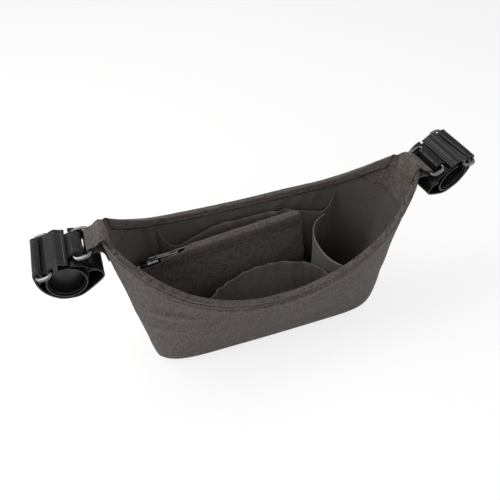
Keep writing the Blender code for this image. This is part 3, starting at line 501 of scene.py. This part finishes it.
def outer_lie(place):
    """The outer cloth's own set: full under the rim's band, and drawn in at the seam below it."""
    drop = below_rim(place)
    inwards = Vector((0, -side_of(place), 0)) * (1 - smooth_step(0.150, 0.166, abs(place.x)))
    draw = 0.0014 * mound(drop, seam_drop, 0.0013) - 0.0009 * mound(drop, 0.0150, 0.004)
    return crumple(place) + inwards * draw * (0.5 if place.y > 0 else 1.0)


outer_surface = cloth_piece(
    "outer_shell", "outer_cloth", 3, outer_lie, "round", melange)[1]


# Lining: a smooth dark plain weave, loose in the bag, sewn in at the rim. At both ears it is
# faced with the outer cloth, which ends in a curved seam.
lining_weave = woven(
    "lining_weave", (0.080, 0.071, 0.067, 1), (0.044, 0.039, 0.037, 1),
    2600.0, 0.5, 0.50, 0.00006, 0.10)
lining_folds = (
    ((0.034, 0.060, 0.127), (0.80, 0, 0.60), 0.020, 0.0036, (0, -0.0030, 0)),
    ((0.048, 0.060, 0.125), (0.75, 0, 0.66), 0.018, 0.0034, (0, 0.0014, 0)),
    ((0.060, 0.060, 0.126), (0.80, 0, 0.60), 0.022, 0.0038, (0, -0.0030, 0)),
    ((0.082, 0.059, 0.128), (0.70, 0, 0.71), 0.020, 0.0038, (0, -0.0026, 0)),
    ((-0.060, 0.060, 0.128), (0.75, 0, -0.66), 0.020, 0.0038, (0, -0.0022, 0)),
    ((-0.020, 0.061, 0.126), (0.85, 0, 0.50), 0.022, 0.0038, (0, -0.0022, 0)),
)


def sag(place):
    """The lining's own slackness, besides what the whole bag does."""
    slack = noise.noise_vector(place * 30.0 + Vector((9.0, 2.0, 4.0))) * 0.0002
    return crumple(place) + folded(place, lining_folds) + slack * smooth_step(0.0, 0.02, place.z)


lining = finer_copy("lining", 2)
shift_all(lining, sag)
lay_threads(lining, "round")
# The plane that cuts off each ear's facing: a place and the way it faces.
ear_cuts = (
    (Vector((-0.158, 0, 0.158)), Vector((-0.10, 0, 1))),
    (Vector((0.1573, 0, 0.149)), Vector((0.35, 0, 1))),
)


def cut_through(shape, place, way):
    """New edges where the plane through the place meets the shape."""
    whole = shape.verts[:] + shape.edges[:] + shape.faces[:]
    bmesh.ops.bisect_plane(shape, geom=whole, plane_co=place, plane_no=way, dist=1e-7)


for spot, way in ear_cuts:
    cut_through(lining, spot, way.normalized())
for face in lining.faces:
    home = face.calc_center_median()
    if any((home - spot).dot(way) > 0 for spot, way in ear_cuts):
        face.material_index = 1
lining_surface = set_down(
    lining, "lining_cloth", (lining_weave, melange), stands_for=("lining",))[1]


# Rim bindings: the outer cloth folded over the raw rim, front and back, and stitched through in
# one row, with a seam close below, outside and on the lining inside; these seams are drawn as
# continuous dark cords, partly seam thread and partly painted shadow. The cloth rides a little wavy
# between the stitches.
def wall_row(side, reach, drop, how):
    """A row of places on the wall at a drop below the rim, moved as the cloth there is."""
    row = []
    for step in range(-60, 61):
        rim, foot = rim_place(side, step / 60 * reach)
        spot = rim + (foot - rim).normalized() * drop
        row.append(spot + how(spot))
    return row


def spaced_out(points, gap):
    """Points at even gaps along a line of points, with the way the line runs there."""
    left = gap / 2
    out = []
    for a, b in zip(points, points[1:]):
        step = (b - a).length
        while left <= step:
            out.append((a.lerp(b, left / step), (b - a).normalized()))
            left += gap
        left -= step
    return out


def sew(name, lines, thread, body="bag", gap=0.0030, stitch=0.0023, width=0.00085, sunk=0.0):
    """Stitches along lines, each a surface, a list of places near it and the side they lie on."""
    seam = bmesh.new()
    for surface, points, outside in lines:
        for place, way in spaced_out(points, gap):
            hit, normal, _, far = surface.find_nearest(place + Vector(outside) * 0.002)
            if hit is None or far > 0.02:
                continue
            along = (way - normal * way.dot(normal)).normalized()
            across = normal.cross(along)
            axes = Matrix((along * stitch / 2, across * width / 2, normal * width * 0.42))
            seat = Matrix.Translation(hit - normal * (sunk - width * 0.10))
            turn = seat @ axes.transposed().to_4x4() @ Matrix.Rotation(math.pi / 2, 4, "Y")
            bead = bmesh.ops.create_uvsphere(seam, u_segments=6, v_segments=5, radius=1.0)
            bmesh.ops.transform(seam, matrix=turn, verts=bead["verts"])
    set_down(seam, name, (thread,), body)


dark_thread = plain_finish("dark_thread", (0.013, 0.011, 0.010, 1), 300.0, 0.4, 0.7)[0]
rim_row = 0.0044


def band_lie(place):
    """The folded band stands full on both sides of the stitch row that holds it down."""
    side = side_of(place)
    rim, foot = rim_place(side, rim_share(place.x))
    wall = rim.lerp(foot, max(0.0, (rim.z - place.z) / rim.z))
    facing = side if (place.y - wall.y) * side > -0.0012 else -side
    dip = mound(below_rim(place), rim_row, 0.0010)
    ripple = noise.noise(place * 90) * 0.00035
    tuck = 0.65 * smooth_step(0.1560, 0.1636, abs(place.x))
    sunk = Vector((0, wall.y - side * 0.0016 - place.y, -0.0012)) * tuck
    if facing != side:
        sunk.z += 0.42 * max(0.0, rim.z - place.z) * (1 - tuck)
    return crumple(place) + Vector((0, facing, 0)) * (ripple - 0.0009 * dip) + sunk


rim_rows = []
seam_and_shadow_rows = []
for word, side in (("front", -1), ("back", 1)):
    band, band_surface = cloth_piece(
        word + "_rim_binding", word + "_rim_band", 3, band_lie, "rim", melange)
    outside = Vector((0, side, 0))
    rim_rows.append((band_surface, wall_row(side, 0.955, rim_row, crumple), outside))
    seam_and_shadow_rows.append((outer_surface, wall_row(side, 0.955, seam_drop, crumple), outside))
    # Inside, a continuous dark cord on the lining under the band: the lining's seam, and painted
    # shadow under the rim.
    inner_row = [spot - outside * 0.0045 for spot in wall_row(side, 0.94, 0.0056, sag)]
    seam_and_shadow_rows.append((lining_surface, inner_row, -outside))
sew("rim_stitches", rim_rows, dark_thread, gap=0.0028, stitch=0.0026, width=0.0013)
# The seam rows are overlapping dark beads that run together into one line: seam thread, and a
# painted shadow line along the seam.
sew("rim_seam_and_painted_shadow", seam_and_shadow_rows, dark_thread, gap=0.0024, stitch=0.0038, width=0.0015)

# Two rows along each ear facing's curved edge, and two down the lining's side seam at the left.
facing_rows = []
for spot, way in ear_cuts:
    end = math.copysign(1, spot.x)
    start = Vector((end * 0.125, 0, spot.z - (end * 0.125 - spot.x) * way.x))
    for inset in (0.0, 0.0022):
        ring = []
        for step in range(-48, 49):
            turn = math.radians(step * 2.0)
            ray = Vector((end * math.cos(turn), math.sin(turn), -end * math.cos(turn) * way.x))
            hit = lining_surface.ray_cast(start + Vector((0, 0, inset)), ray)[0]
            if hit:
                ring.append(hit)
        facing_rows.append((lining_surface, ring, (-end * 0.1, 0, 0)))
side_seam = (
    (-0.1243, 0.0475, 0.1545), (-0.1248, 0.0459, 0.143), (-0.1243, 0.045, 0.1329),
    (-0.1237, 0.0438, 0.1228), (-0.123, 0.043, 0.108),
)
for aside in ((0, 0, 0), (0.0026, 0.0008, 0)):
    seam_row = [Vector(spot) + Vector(aside) for spot in side_seam]
    facing_rows.append((lining_surface, seam_row, (0, -0.2, 0)))
sew("facing_stitches", facing_rows, dark_thread, gap=0.0030, stitch=0.0024, width=0.0008)


# Front pocket: a slack lining-cloth pouch sewn to the front wall, gathered along its elastic hem
# so the top edge bows into the bag. The hem is turned and stitched 4 mm down.
gather_x, gather_y = -0.012, -0.058


def hem_ripple(place):
    """Gathers that are deepest at the hem and run out downwards."""
    x, y = place.x - gather_x, place.y - gather_y
    swing = math.sin(math.atan2(y, x) * 21 + 4.0 * noise.noise(place * 38))
    return swing * min(1.0, math.hypot(x, y * 0.5) / 0.03)


def gathered(place):
    push = crumple(place)
    if place.y > -0.049:
        share = math.exp(-max(0.0, 0.0935 - place.z) / 0.012)
        push += Vector((0, 1, 0)) * 0.0010 * share * hem_ripple(place)
        slack = noise.noise_vector(place * 42.0 + Vector((1.0, 6.0, 2.0))) * 0.0007
        push += slack * smooth_step(0.028, 0.045, place.z)
    return push


pocket_weave = woven(
    "pocket_weave", (0.092, 0.081, 0.075, 1), (0.050, 0.043, 0.040, 1),
    2600.0, 0.5, 0.52, 0.00006, 0.10)
front_pouch, front_pouch_surface = cloth_piece(
    "front_pocket", "front_pouch", 2, gathered, "panel", pocket_weave)


def row_by_rays(surface, start, stop, height, ray):
    """Where rays forwards (-1) or backwards (1) meet the surface, in a level row."""
    row = []
    for step in range(81):
        origin = Vector((start + (stop - start) * step / 80, -0.2 * ray, height))
        hit = surface.ray_cast(origin, Vector((0, ray, 0)))[0]
        if hit:
            row.append(hit)
    return row


front_hem_row = row_by_rays(front_pouch_surface, -0.086, 0.063, 0.0892, -1)
sew("front_pouch_hem", [(front_pouch_surface, front_hem_row, (0, 1, 0))], dark_thread,
    gap=0.0032, stitch=0.0023, width=0.0009)


# Back pocket: a wide slack pocket of the same cloth along the back wall, with a thin turned hem.
def slackened(place):
    hem = 0.0004 * math.exp(-max(0.0, 0.120 - place.z) / 0.016)
    gathers = math.sin(place.x * 340 + 3 * noise.noise(place * 40))
    slack = noise.noise_vector(place * 36.0 + Vector((5.0, 1.0, 8.0))) * 0.0005
    push = crumple(place) + folded(place, lining_folds) + Vector((0, hem * gathers, 0))
    return push + slack * smooth_step(0.036, 0.060, place.z)


back_pouch = cloth_piece("back_pocket", "back_pouch", 2, slackened, "panel", pocket_weave)[0]


# Bottle pocket: a curved wall of lining cloth round the right end, finished with a corded edge
# in a paler satin tape.
bottle_pouch = cloth_piece("bottle_pocket", "bottle_pouch", 2, crumple, "across", pocket_weave)[0]
satin = woven(
    "satin_edge", (0.125, 0.112, 0.104, 1), (0.075, 0.066, 0.061, 1), 3000.0, 0.4, 0.5, 0.00005)
cloth_piece("bottle_pocket_piping", "bottle_edge", 1, crumple, "across", satin)


# Zip pocket: two cloths hung across the bag, melange towards the front and lining cloth behind,
# each with its top turned down in a stitched band that holds the zip's tape.
zip_front, zip_front_surface = cloth_piece(
    "zip_pocket_front", "zip_panel_front", 2, crumple, "panel", melange)
zip_back, zip_back_surface = cloth_piece(
    "zip_pocket_back", "zip_panel_back", 2, crumple, "panel", pocket_weave)

# The front band's cloth laps back over the zip. Each place is (across the zip, above its seat).
lap_section = (
    (-0.0059, -0.0060), (-0.0061, -0.0030), (-0.0062, -0.0004), (-0.0060, 0.0022),
    (-0.0052, 0.0042), (-0.0036, 0.0054), (-0.0012, 0.0059), (0.0014, 0.0057),
    (0.0034, 0.0050), (0.0046, 0.0044),
)
zip_across = Vector((-0.111451, 0.99377, 0))
lap_start, lap_stop = 0.0085, 0.1830
lap = bmesh.new()
bmesh.ops.create_grid(lap, x_segments=96, y_segments=27, size=0.5)
for vert in lap.verts:
    along = lap_start + (lap_stop - lap_start) * (vert.co.x + 0.5)
    opening = smooth_step(0.031, 0.050, along)
    closing = 1 - smooth_step(lap_stop - 0.012, lap_stop, along)
    share = (vert.co.y + 0.5) * (0.52 + 0.48 * opening * (0.35 + 0.65 * closing))
    at = share * (len(lap_section) - 1)
    low = min(len(lap_section) - 2, int(at))
    aside, above = Vector(lap_section[low]).lerp(Vector(lap_section[low + 1]), at - low)
    wave = 0.0006 * noise.noise(Vector((along * 55, share * 2.0, 7.0)))
    wave *= smooth_step(0.2, 0.6, share)
    seat = zip_middle + zip_along * along + zip_across * (aside + 0.4 * wave)
    vert.co = seat + Vector((0, 0, above + wave))


def thickened(sheet, thickness):
    bmesh.ops.recalc_face_normals(sheet, faces=sheet.faces)
    bmesh.ops.solidify(sheet, geom=sheet.faces[:], thickness=thickness)
    bmesh.ops.recalc_face_normals(sheet, faces=sheet.faces)
    return sheet


thickened(lap, 0.0007)
lay_threads(lap, "panel")
zip_lap, lap_surface = set_down(lap, "zip_lap", (melange,))
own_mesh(zip_lap)
lap_row = [
    zip_middle + zip_along * along - zip_across * 0.0059 - Vector((0, 0, 0.0042))
    for along in (lap_start + 0.002, 0.09, lap_stop - 0.002)
]
sew("zip_lap_stitches", [(lap_surface, lap_row, -zip_across)], dark_thread)
band_height = 0.1105
front_band_row = row_by_rays(zip_front_surface, -0.148, 0.060, band_height, 1)
back_band_row = row_by_rays(zip_back_surface, -0.142, 0.058, band_height, -1)
band_rows = (
    (zip_front_surface, front_band_row, (0, -1, 0)), (zip_back_surface, back_band_row, (0, 1, 0)))
sew("zip_band_stitches", band_rows, dark_thread)


# Zip: woven tapes, dark metal teeth, and the crimped stops at both ends.
tape, tape_tree, tape_skin = finish_of("zip_tape_weave", 0.8, 0.3)
tape_feeds = {"Vector": own_place(tape_tree), "Scale": 320.0, "Distortion": 1.5, "Detail": 2.0}
tape_wave = node_into(tape_tree, "TexWave", tape_feeds, bands_direction="DIAGONAL")
tape_chevron = tape_wave.outputs["Fac"]
tape_tones = blended(tape_tree, tape_chevron, (0.012, 0.011, 0.011, 1), (0.034, 0.031, 0.030, 1))
feed(tape_tree, tape_skin, {"Base Color": tape_tones})
raise_surface(tape_tree, tape_skin, tape_chevron, 0.0001, 0.5)

scuffed, scuffed_in, scuffed_out = effect(
    "scuffed_metal",
    (("Place", "Vector"), ("Metal", "Color"), ("Smooth", "Float"), ("Rough", "Float"),
     ("Scratch Size", "Float", 400.0)),
    (("Colour", "Color"), ("Roughness", "Float"), ("Height", "Float")),
)
scuff_feeds = {0: scuffed_in["Place"], 1: (1.0, 0.12, 1.0)}
scuff_lines = node_into(scuffed, "VectorMath", scuff_feeds, operation="MULTIPLY")
scuff_noise = noisy(
    scuffed, Vector=scuff_lines.outputs[0], Scale=scuffed_in["Scratch Size"], Detail=3.0)
scuff_cloud = noisy(scuffed, Vector=scuffed_in["Place"], Scale=90.0, Detail=3.0)
scuff_sum = reckoned(scuffed, "MULTIPLY", scuff_noise, scuff_cloud)
scuff_gain = ranged(scuffed, scuff_cloud, 0.3, 0.7, 0.85, 1.1)
feed(scuffed, scuffed_out, {
    "Colour": scaled(scuffed, scuffed_in["Metal"], scuff_gain),
    "Roughness": ranged(
        scuffed, scuff_sum, 0.12, 0.42, scuffed_in["Smooth"], scuffed_in["Rough"]),
    "Height": scuff_noise,
})


def metal_of(name, colour, smooth, rough, depth):
    made, tree, skin = finish_of(name, 0.3, 0.5, 1.0)
    feeds = {"Place": own_place(tree), "Metal": colour, "Smooth": smooth, "Rough": rough}
    wear = node_into(tree, "Group", feeds, node_tree=scuffed).outputs
    feed(tree, skin, {"Base Color": wear["Colour"], "Roughness": wear["Roughness"]})
    raise_surface(tree, skin, wear["Height"], depth, 0.15)
    return made


gunmetal = metal_of("dark_gunmetal", (0.15, 0.15, 0.153, 1), 0.14, 0.32, 0.00004)
for word in ("front", "back"):
    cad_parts["zip_tape_" + word].data.materials[0] = tape
    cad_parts["zip_teeth_" + word].data.materials[0] = gunmetal


def eased_copy(node, round_off):
    """The node's surface with its hard edges rounded, for a cast or stamped metal piece."""
    shape = welded_copy(node)
    bmesh.ops.dissolve_limit(
        shape, angle_limit=math.radians(2), verts=shape.verts, edges=shape.edges)
    hard = [edge for edge in shape.edges if edge.calc_face_angle(0.0) > math.radians(25)]
    bmesh.ops.bevel(
        shape, geom=hard, offset=round_off, segments=2, profile=0.5, affect="EDGES",
        material=-1, clamp_overlap=True)
    return shape


for node, name, body, round_off in (
    ("zip_stop_left", "zip_stop_left_crimp", "bag", 0.0004),
    ("zip_stop_right", "zip_stop_right_crimp", "bag", 0.0004),
    ("zip_slider", "slider_casting", "zip_slider", 0.00025),
    ("zip_pull", "pull_stamping", "zip_pull", 0.00025),
):
    set_down(eased_copy(node, round_off), name, (gunmetal,), body, (node,))


# Ear loops: the melange cloth of each ear carried over the ring's bar and stitched back.
def still(place):
    return noise.noise_vector(place * 70.0) * 0.00012


def against_the_wall(loop):
    """Lays the loop's outside end on the bag's wall, round its curved corners."""
    loop.normal_update()
    for vert in loop.verts:
        share = 1 - smooth_step(0.1850, 0.1925, vert.co.z)
        if abs(vert.co.x) < 0.1642 or share == 0:
            continue
        hit, normal, _, _ = outer_surface.find_nearest(vert.co)
        lift = 0.0016 if vert.normal.dot(normal) > 0 else 0.0002
        vert.co = vert.co.lerp(hit + normal * lift, share)


loop_rows = []
for hand, end in (("left", -1), ("right", 1)):
    loop = finer_copy("ear_loop_" + hand, 2)
    shift_all(loop, still)
    against_the_wall(loop)
    lay_threads(loop, "across")
    fold, fold_surface = set_down(
        loop, "ear_fold_" + hand, (melange,), stands_for=("ear_loop_" + hand,))
    for x, z, inside in ((0.158, 0.1880, 1), (0.172, 0.1795, -1)):
        row = [Vector((x * end, y, z)) for y in (-0.0155, -0.0035, 0.0090)]
        loop_rows.append((fold_surface, row, (-end * inside, 0, 0)))
sew("ear_loop_stitches", loop_rows, dark_thread, gap=0.0027, stitch=0.0019, width=0.0009)


# Rings: rounded oblongs of satin steel wire, two on each strap, one in the ear and one at the
# outside where the strap doubles back. Each strap's seat comes with the ways out and across.
strap_seats = {
    "left": (Vector((-0.193941, -0.0035, 0.194649)), Vector((-1, 0, 0)), Vector((0, 1, 0))),
    "right": (Vector((0.192981, -0.00114, 0.200997)), Vector((0.948232, 0.162335, 0.272955)),
              Vector((-0.205888, 0.968628, 0.139173))),
}


def flatten_ends(wire, across):
    """Swells both short ends of a ring outwards, flat and full in the middle like a half moon."""
    middle = sum((vert.co for vert in wire.verts), Vector()) / len(wire.verts)
    reaches = [(vert.co - middle).dot(across) for vert in wire.verts]
    half = max(reaches) - 0.0018
    level = (vert.co - middle - across * reach for vert, reach in zip(wire.verts, reaches))
    long_way = max(level, key=lambda off: off.length)
    pitch = long_way.length
    long_way = long_way.normalized()
    for vert, reach in zip(wire.verts, reaches):
        along = (vert.co - middle).dot(long_way) / pitch
        swell = max(0.0, 1 - along * along) * smooth_step(half - 0.0005, half + 0.0015, abs(reach))
        fullness = 0.0013 if reach < 0 else 0.0003
        vert.co += across * math.copysign(fullness * swell, reach)


steel = metal_of("satin_steel", (0.135, 0.135, 0.14, 1), 0.20, 0.34, 0.00003)
for hand in ("left", "right"):
    for which, body in (("inner", hand + "_ring"), ("outer", hand + "_strap")):
        node = f"ring_{which}_{hand}"
        wire = finer_copy(node, 1, 80.0)
        flatten_ends(wire, strap_seats[hand][2])
        set_down(wire, f"{which}_ring_{hand}", (steel,), body, (node,))


# Straps: black leatherette, two layers turned in at the edges and stitched 5 mm from them. The
# tab holds the ear's ring, the wrap goes round the handlebar and its flap closes on hook tape,
# and the belt carries both round the outside to the outer ring.
grain, grain_in, grain_out = effect(
    "leather_grain",
    (("Place", "Vector"), ("Black", "Color"), ("Cells", "Float", 1300.0)),
    (("Colour", "Color"), ("Roughness", "Float"), ("Height", "Float")),
)
grain_feeds = {"Vector": grain_in["Place"], "Scale": grain_in["Cells"]}
grain_cells = node_into(
    grain, "TexVoronoi", grain_feeds, feature="DISTANCE_TO_EDGE").outputs["Distance"]
grain_fine = noisy(grain, Vector=grain_in["Place"], Scale=420.0, Detail=5.0)
grain_creases = noisy(grain, Vector=grain_in["Place"], Scale=70.0, Detail=4.0, Distortion=1.2)
grain_cap = ranged(grain, grain_cells, 0.0, 0.25, 0.0, 1.0)
grain_gain = ranged(grain, grain_creases, 0.3, 0.7, 0.8, 1.25)
feed(grain, grain_out, {
    "Colour": scaled(grain, grain_in["Black"], grain_gain),
    "Roughness": ranged(grain, grain_creases, 0.3, 0.7, 0.26, 0.40),
    "Height": reckoned(grain, "MULTIPLY_ADD", grain_fine, 1.2, grain_cap),
})


def leather_of(name, colour, specular):
    made, tree, skin = finish_of(name, 0.4, specular)
    feeds = {"Place": own_place(tree), "Black": colour}
    hide = node_into(tree, "Group", feeds, node_tree=grain).outputs
    feed(tree, skin, {"Base Color": hide["Colour"], "Roughness": hide["Roughness"]})
    raise_surface(tree, skin, hide["Height"], 0.00006, 0.35)
    return made


leather = leather_of("black_leatherette", (0.0052, 0.0052, 0.0055, 1), 0.19)
leather_edge = leather_of("turned_leather_edge", (0.014, 0.0135, 0.0135, 1), 0.30)
black_thread = plain_finish("black_thread", (0.020, 0.020, 0.020, 1), 300.0, 0.4, 0.55, 0.4)[0]
grey_thread = plain_finish("grey_thread", (0.17, 0.165, 0.16, 1), 300.0, 0.4, 0.5, 0.4)[0]
grip_out, grip_drop = 0.0125, 0.0235


def strap_axes(hand):
    """The strap's seat on its ring, with the ways out, across and up."""
    seat, out, across = strap_seats[hand]
    up = out.cross(across) if hand == "right" else Vector((0, 0, 1))
    return seat, out, across, up


def grip_middle(hand):
    seat, out, _, up = strap_axes(hand)
    return seat + out * grip_out - up * grip_drop


def handled(place):
    """How the leather lies off true, the same for every layer at a place."""
    return noise.noise_vector(place * 45.0) * 0.00022


# The near bar of each outer ring; the belt's width, and a stitched channel's place from the edge.
near_bars = {
    "left": Vector((-0.215734, -0.0035, 0.190204)),
    "right": Vector((0.214721, 0.003234, 0.202714)),
}
belt_width, channel = 0.048, 0.0049


def plumped(place, hand, name):
    """Fullness where the strap rolls over the outer ring, most where the rolls meet."""
    seat, out, across, up = strap_axes(hand)
    u, w = (place - seat).dot(out), (place - seat).dot(up)
    if name.startswith("tab"):
        radial = math.hypot(u, min(0.0, w) * 0.4 + max(0.0, w))
        push = -out * 0.0034 * smooth_step(-0.001, 0.0035, -u) + up * 0.0004
        return push * smooth_step(0.0024, 0.0036, radial) * smooth_step(-0.0150, -0.0060, w)
    wrap = name.startswith("wrap")
    full = Vector()
    flap_start, flap_length = 0.0090, 0.0130
    if wrap and flap_start < u < flap_start + flap_length and w > -0.0060:
        if math.hypot(u - grip_out, w + grip_drop) > 0.0196:
            full = up * 0.0019 * math.sin(math.pi * (u - flap_start) / flap_length) ** 2
    off = place - near_bars[hand]
    share = 0.35 + 0.65 * (off.dot(across) / belt_width + 0.5)
    if not wrap:
        tilt = math.radians(10)
        off -= (out * math.cos(tilt) - up * math.sin(tilt)) * 0.0135
    u, w = off.dot(out), off.dot(up)
    radial = math.hypot(u, w)
    if radial > 0.0075 or radial < 1e-6:
        return full
    layer = smooth_step(0.0024, 0.0036, radial) * (1 - smooth_step(0.0045, 0.0075, radial))
    rise = smooth_step(-0.001, 0.002, w)
    if wrap:
        push = out * 0.0020 * share * smooth_step(-0.001, 0.003, u) + up * 0.0006 * rise
    else:
        push = -out * 0.0028 * share * smooth_step(-0.001, 0.003, -u) + up * 0.0008 * rise
    return full + push * layer


def leather_strip(part, hand, half):
    """One part of the strap, its edges rounded and its stitched channels pressed in."""
    name = f"{part}_{hand}"
    seat, _, across, _ = strap_axes(hand)
    shape = paired_copy("strap_" + name)
    shape.normal_update()
    sides = [face for face in shape.faces if abs(face.normal.dot(across)) > 0.9]
    for face in sides:
        face.material_index = 1
    rungs = {
        edge for face in sides for edge in face.edges
        if edge.calc_length() < 0.0022 and all(other in sides for other in edge.link_faces)
    }
    bmesh.ops.subdivide_edges(shape, edges=list(rungs), cuts=3, use_grid_fill=True)
    shape.normal_update()
    for inset in (0.0004, 0.0020, 0.0040, channel, 0.0058, half * 0.5, half * 0.8):
        for sign in (-1, 1):
            cut_through(shape, seat + across * sign * (half - inset), across)
    shape.normal_update()
    for vert in shape.verts:
        off = (vert.co - seat).dot(across)
        if abs(abs(off) - (half - channel)) < 1e-5:
            vert.co -= vert.normal * 0.00042
    for vert in shape.verts:
        off = (vert.co - seat).dot(across)
        edge_on = all(face.material_index == 1 for face in vert.link_faces)
        if abs(abs(off) - half) < 2e-5 and vert.link_faces and edge_on:
            vert.co -= across * math.copysign(0.00022, off)
    fine = refined(shape, name + "_rough", 2)
    shift_all(fine, lambda place: handled(place) + plumped(place, hand, name))
    skins = (leather, leather_edge)
    return set_down(fine, name, skins, hand + "_strap", ("strap_" + name,))[1]


# Strips of the wide strap, as lines of (out, up) places: its end under the tab, from beside the
# flap to below the ring's bar; its side beside the tab, on its way down to the belt that it is
# sewn on; and the belt's end, turned in between the two rolls on the outer ring.
under_tab_line = (
    (0.0082, -0.0046), (0.0064, -0.0042), (0.0040, -0.0038), (0.0014, -0.0037),
    (-0.0006, -0.0044), (-0.0016, -0.0064), (-0.0019, -0.0090),
)
side_line = (
    (0.0030, -0.0040), (-0.0010, -0.0044), (-0.0045, -0.0056), (-0.0075, -0.0078),
    (-0.0100, -0.0102), (-0.0123, -0.0121), (-0.0147, -0.0126), (-0.0172, -0.0139),
    (-0.0194, -0.0158),
)
tail_line = (
    (0.0100, 0.0016), (0.0088, -0.0006), (0.0068, -0.0018), (0.0044, -0.0022),
    (0.0022, -0.0034),
)


def strip_from_line(line, hand, low, high, thickness, curl, seat):
    """A strip of leather along a line, from low to high across it, its far edge curled up."""
    _, out, across, up = strap_axes(hand)
    strip = bmesh.new()
    bmesh.ops.create_grid(strip, x_segments=len(line) - 1, y_segments=8, size=0.5)
    for vert in strip.verts:
        u, w = line[round((vert.co.x + 0.5) * (len(line) - 1))]
        side = low + (high - low) * (vert.co.y + 0.5)
        rise = w + curl * smooth_step(0.0165, 0.0236, side)
        vert.co = seat + out * u + up * rise + across * side
    return thickened(strip, thickness)


strap_parts = (("tab", 0.0145), ("belt", belt_width / 2), ("wrap", belt_width / 2))
strap_surfaces = {}
for hand, (home, _, _) in strap_seats.items():
    for word, line, low, high, thickness, curl, seat in (
        ("under_tab", under_tab_line, -0.0235, 0.0235, 0.0010, 0.0, home),
        ("near_side", side_line, -0.0240, -0.0158, 0.0012, 0.0, home),
        ("far_side", side_line, 0.0158, 0.0242, 0.0012, 0.0052, home),
        ("belt_tail", tail_line, -0.0236, 0.0240, 0.0012, 0.0030, near_bars[hand]),
    ):
        strip = strip_from_line(line, hand, low, high, thickness, curl, seat)
        extra = refined(strip, word + "_rough", 2)
        shift_all(extra, handled)
        set_down(extra, f"{word}_{hand}", (leather,), hand + "_strap")
    for part, half in strap_parts:
        strap_surfaces[part, hand] = leather_strip(part, hand, half)


def around_grip(hand, surface, offset, start, stop):
    """Places where rays towards the handlebar's middle meet the surface, offset along the grip."""
    _, out, across, up = strap_axes(hand)
    middle = grip_middle(hand) + across * offset
    row = []
    angle = start
    while angle <= stop:
        turn = math.radians(angle)
        ray = out * math.cos(turn) + up * math.sin(turn)
        hit = surface.ray_cast(middle + ray * 0.07, -ray)[0]
        if hit:
            row.append(hit)
        angle += 1.5
    return row


def unbroken(row):
    """The row as runs, broken where it jumps from one layer to another."""
    runs = [[row[0]]] if row else []
    for a, b in zip(row, row[1:]):
        if (b - a).length > 0.006:
            runs.append([])
        runs[-1].append(b)
    return [run for run in runs if len(run) > 2]


for hand in ("left", "right"):
    middle = grip_middle(hand)
    rows = []
    for part, half in strap_parts:
        surface = strap_surfaces[part, hand]
        for sign in (-1, 1):
            for run in unbroken(around_grip(hand, surface, sign * (half - channel), -180, 180)):
                outside = (run[len(run) // 2] - middle).normalized()
                rows.append((surface, run, outside * 0.2))
    sew("strap_stitches_" + hand, rows, black_thread, hand + "_strap",
        gap=0.0032, stitch=0.0024, width=0.0007, sunk=0.0001)
    wrap = strap_surfaces["wrap", hand]
    flap_row = []
    for step in range(25):
        flap_row += around_grip(hand, wrap, 0.0222 * (step / 12 - 1), 99.0, 99.0)
    sew("flap_stitches_" + hand, [(wrap, flap_row, (0, 0, 0.2))], grey_thread,
        hand + "_strap", gap=0.0030, stitch=0.0019, width=0.0007)


# Grip lining and hook tape: ribbed black rubber inside the wrap, and the two fuzzy patches
# between the flap and the tab.
rubber, rubber_tree, rubber_skin = plain_finish(
    "ribbed_rubber", (0.0042, 0.0042, 0.0044, 1), 90.0, 0.4, 0.30, 0.4)
rubber_grain = noisy(rubber_tree, Scale=1200.0, Detail=2.0)
raise_surface(rubber_tree, rubber_skin, rubber_grain, 0.00005, 0.4)
hooks, hooks_tree, hooks_skin = finish_of("hook_tape", 0.95, 0.2)
hooks_feeds = {"Vector": own_place(hooks_tree), "Scale": 1400.0}
hooks_dots = node_into(hooks_tree, "TexVoronoi", hooks_feeds).outputs["Distance"]
hooks_tones = blended(hooks_tree, hooks_dots, (0.040, 0.038, 0.037, 1), (0.010, 0.010, 0.010, 1))
feed(hooks_tree, hooks_skin, {"Base Color": hooks_tones})
raise_surface(hooks_tree, hooks_skin, hooks_dots, 0.0004, 0.9)


def fuzzy(place):
    return handled(place) + noise.noise_vector(place * 900) * 0.00012


for hand in ("left", "right"):
    body = hand + "_strap"
    liner = finer_copy("grip_liner_" + hand, 1, 80.0)
    shift_all(liner, handled)
    set_down(liner, "grip_ribs_" + hand, (rubber,), body, ("grip_liner_" + hand,))
    for which in ("hook", "loop"):
        node = f"{which}_patch_{hand}"
        fuzz = finer_copy(node, 3)
        shift_all(fuzz, fuzzy)
        set_down(fuzz, f"{which}_tape_{hand}", (hooks,), body, (node,))
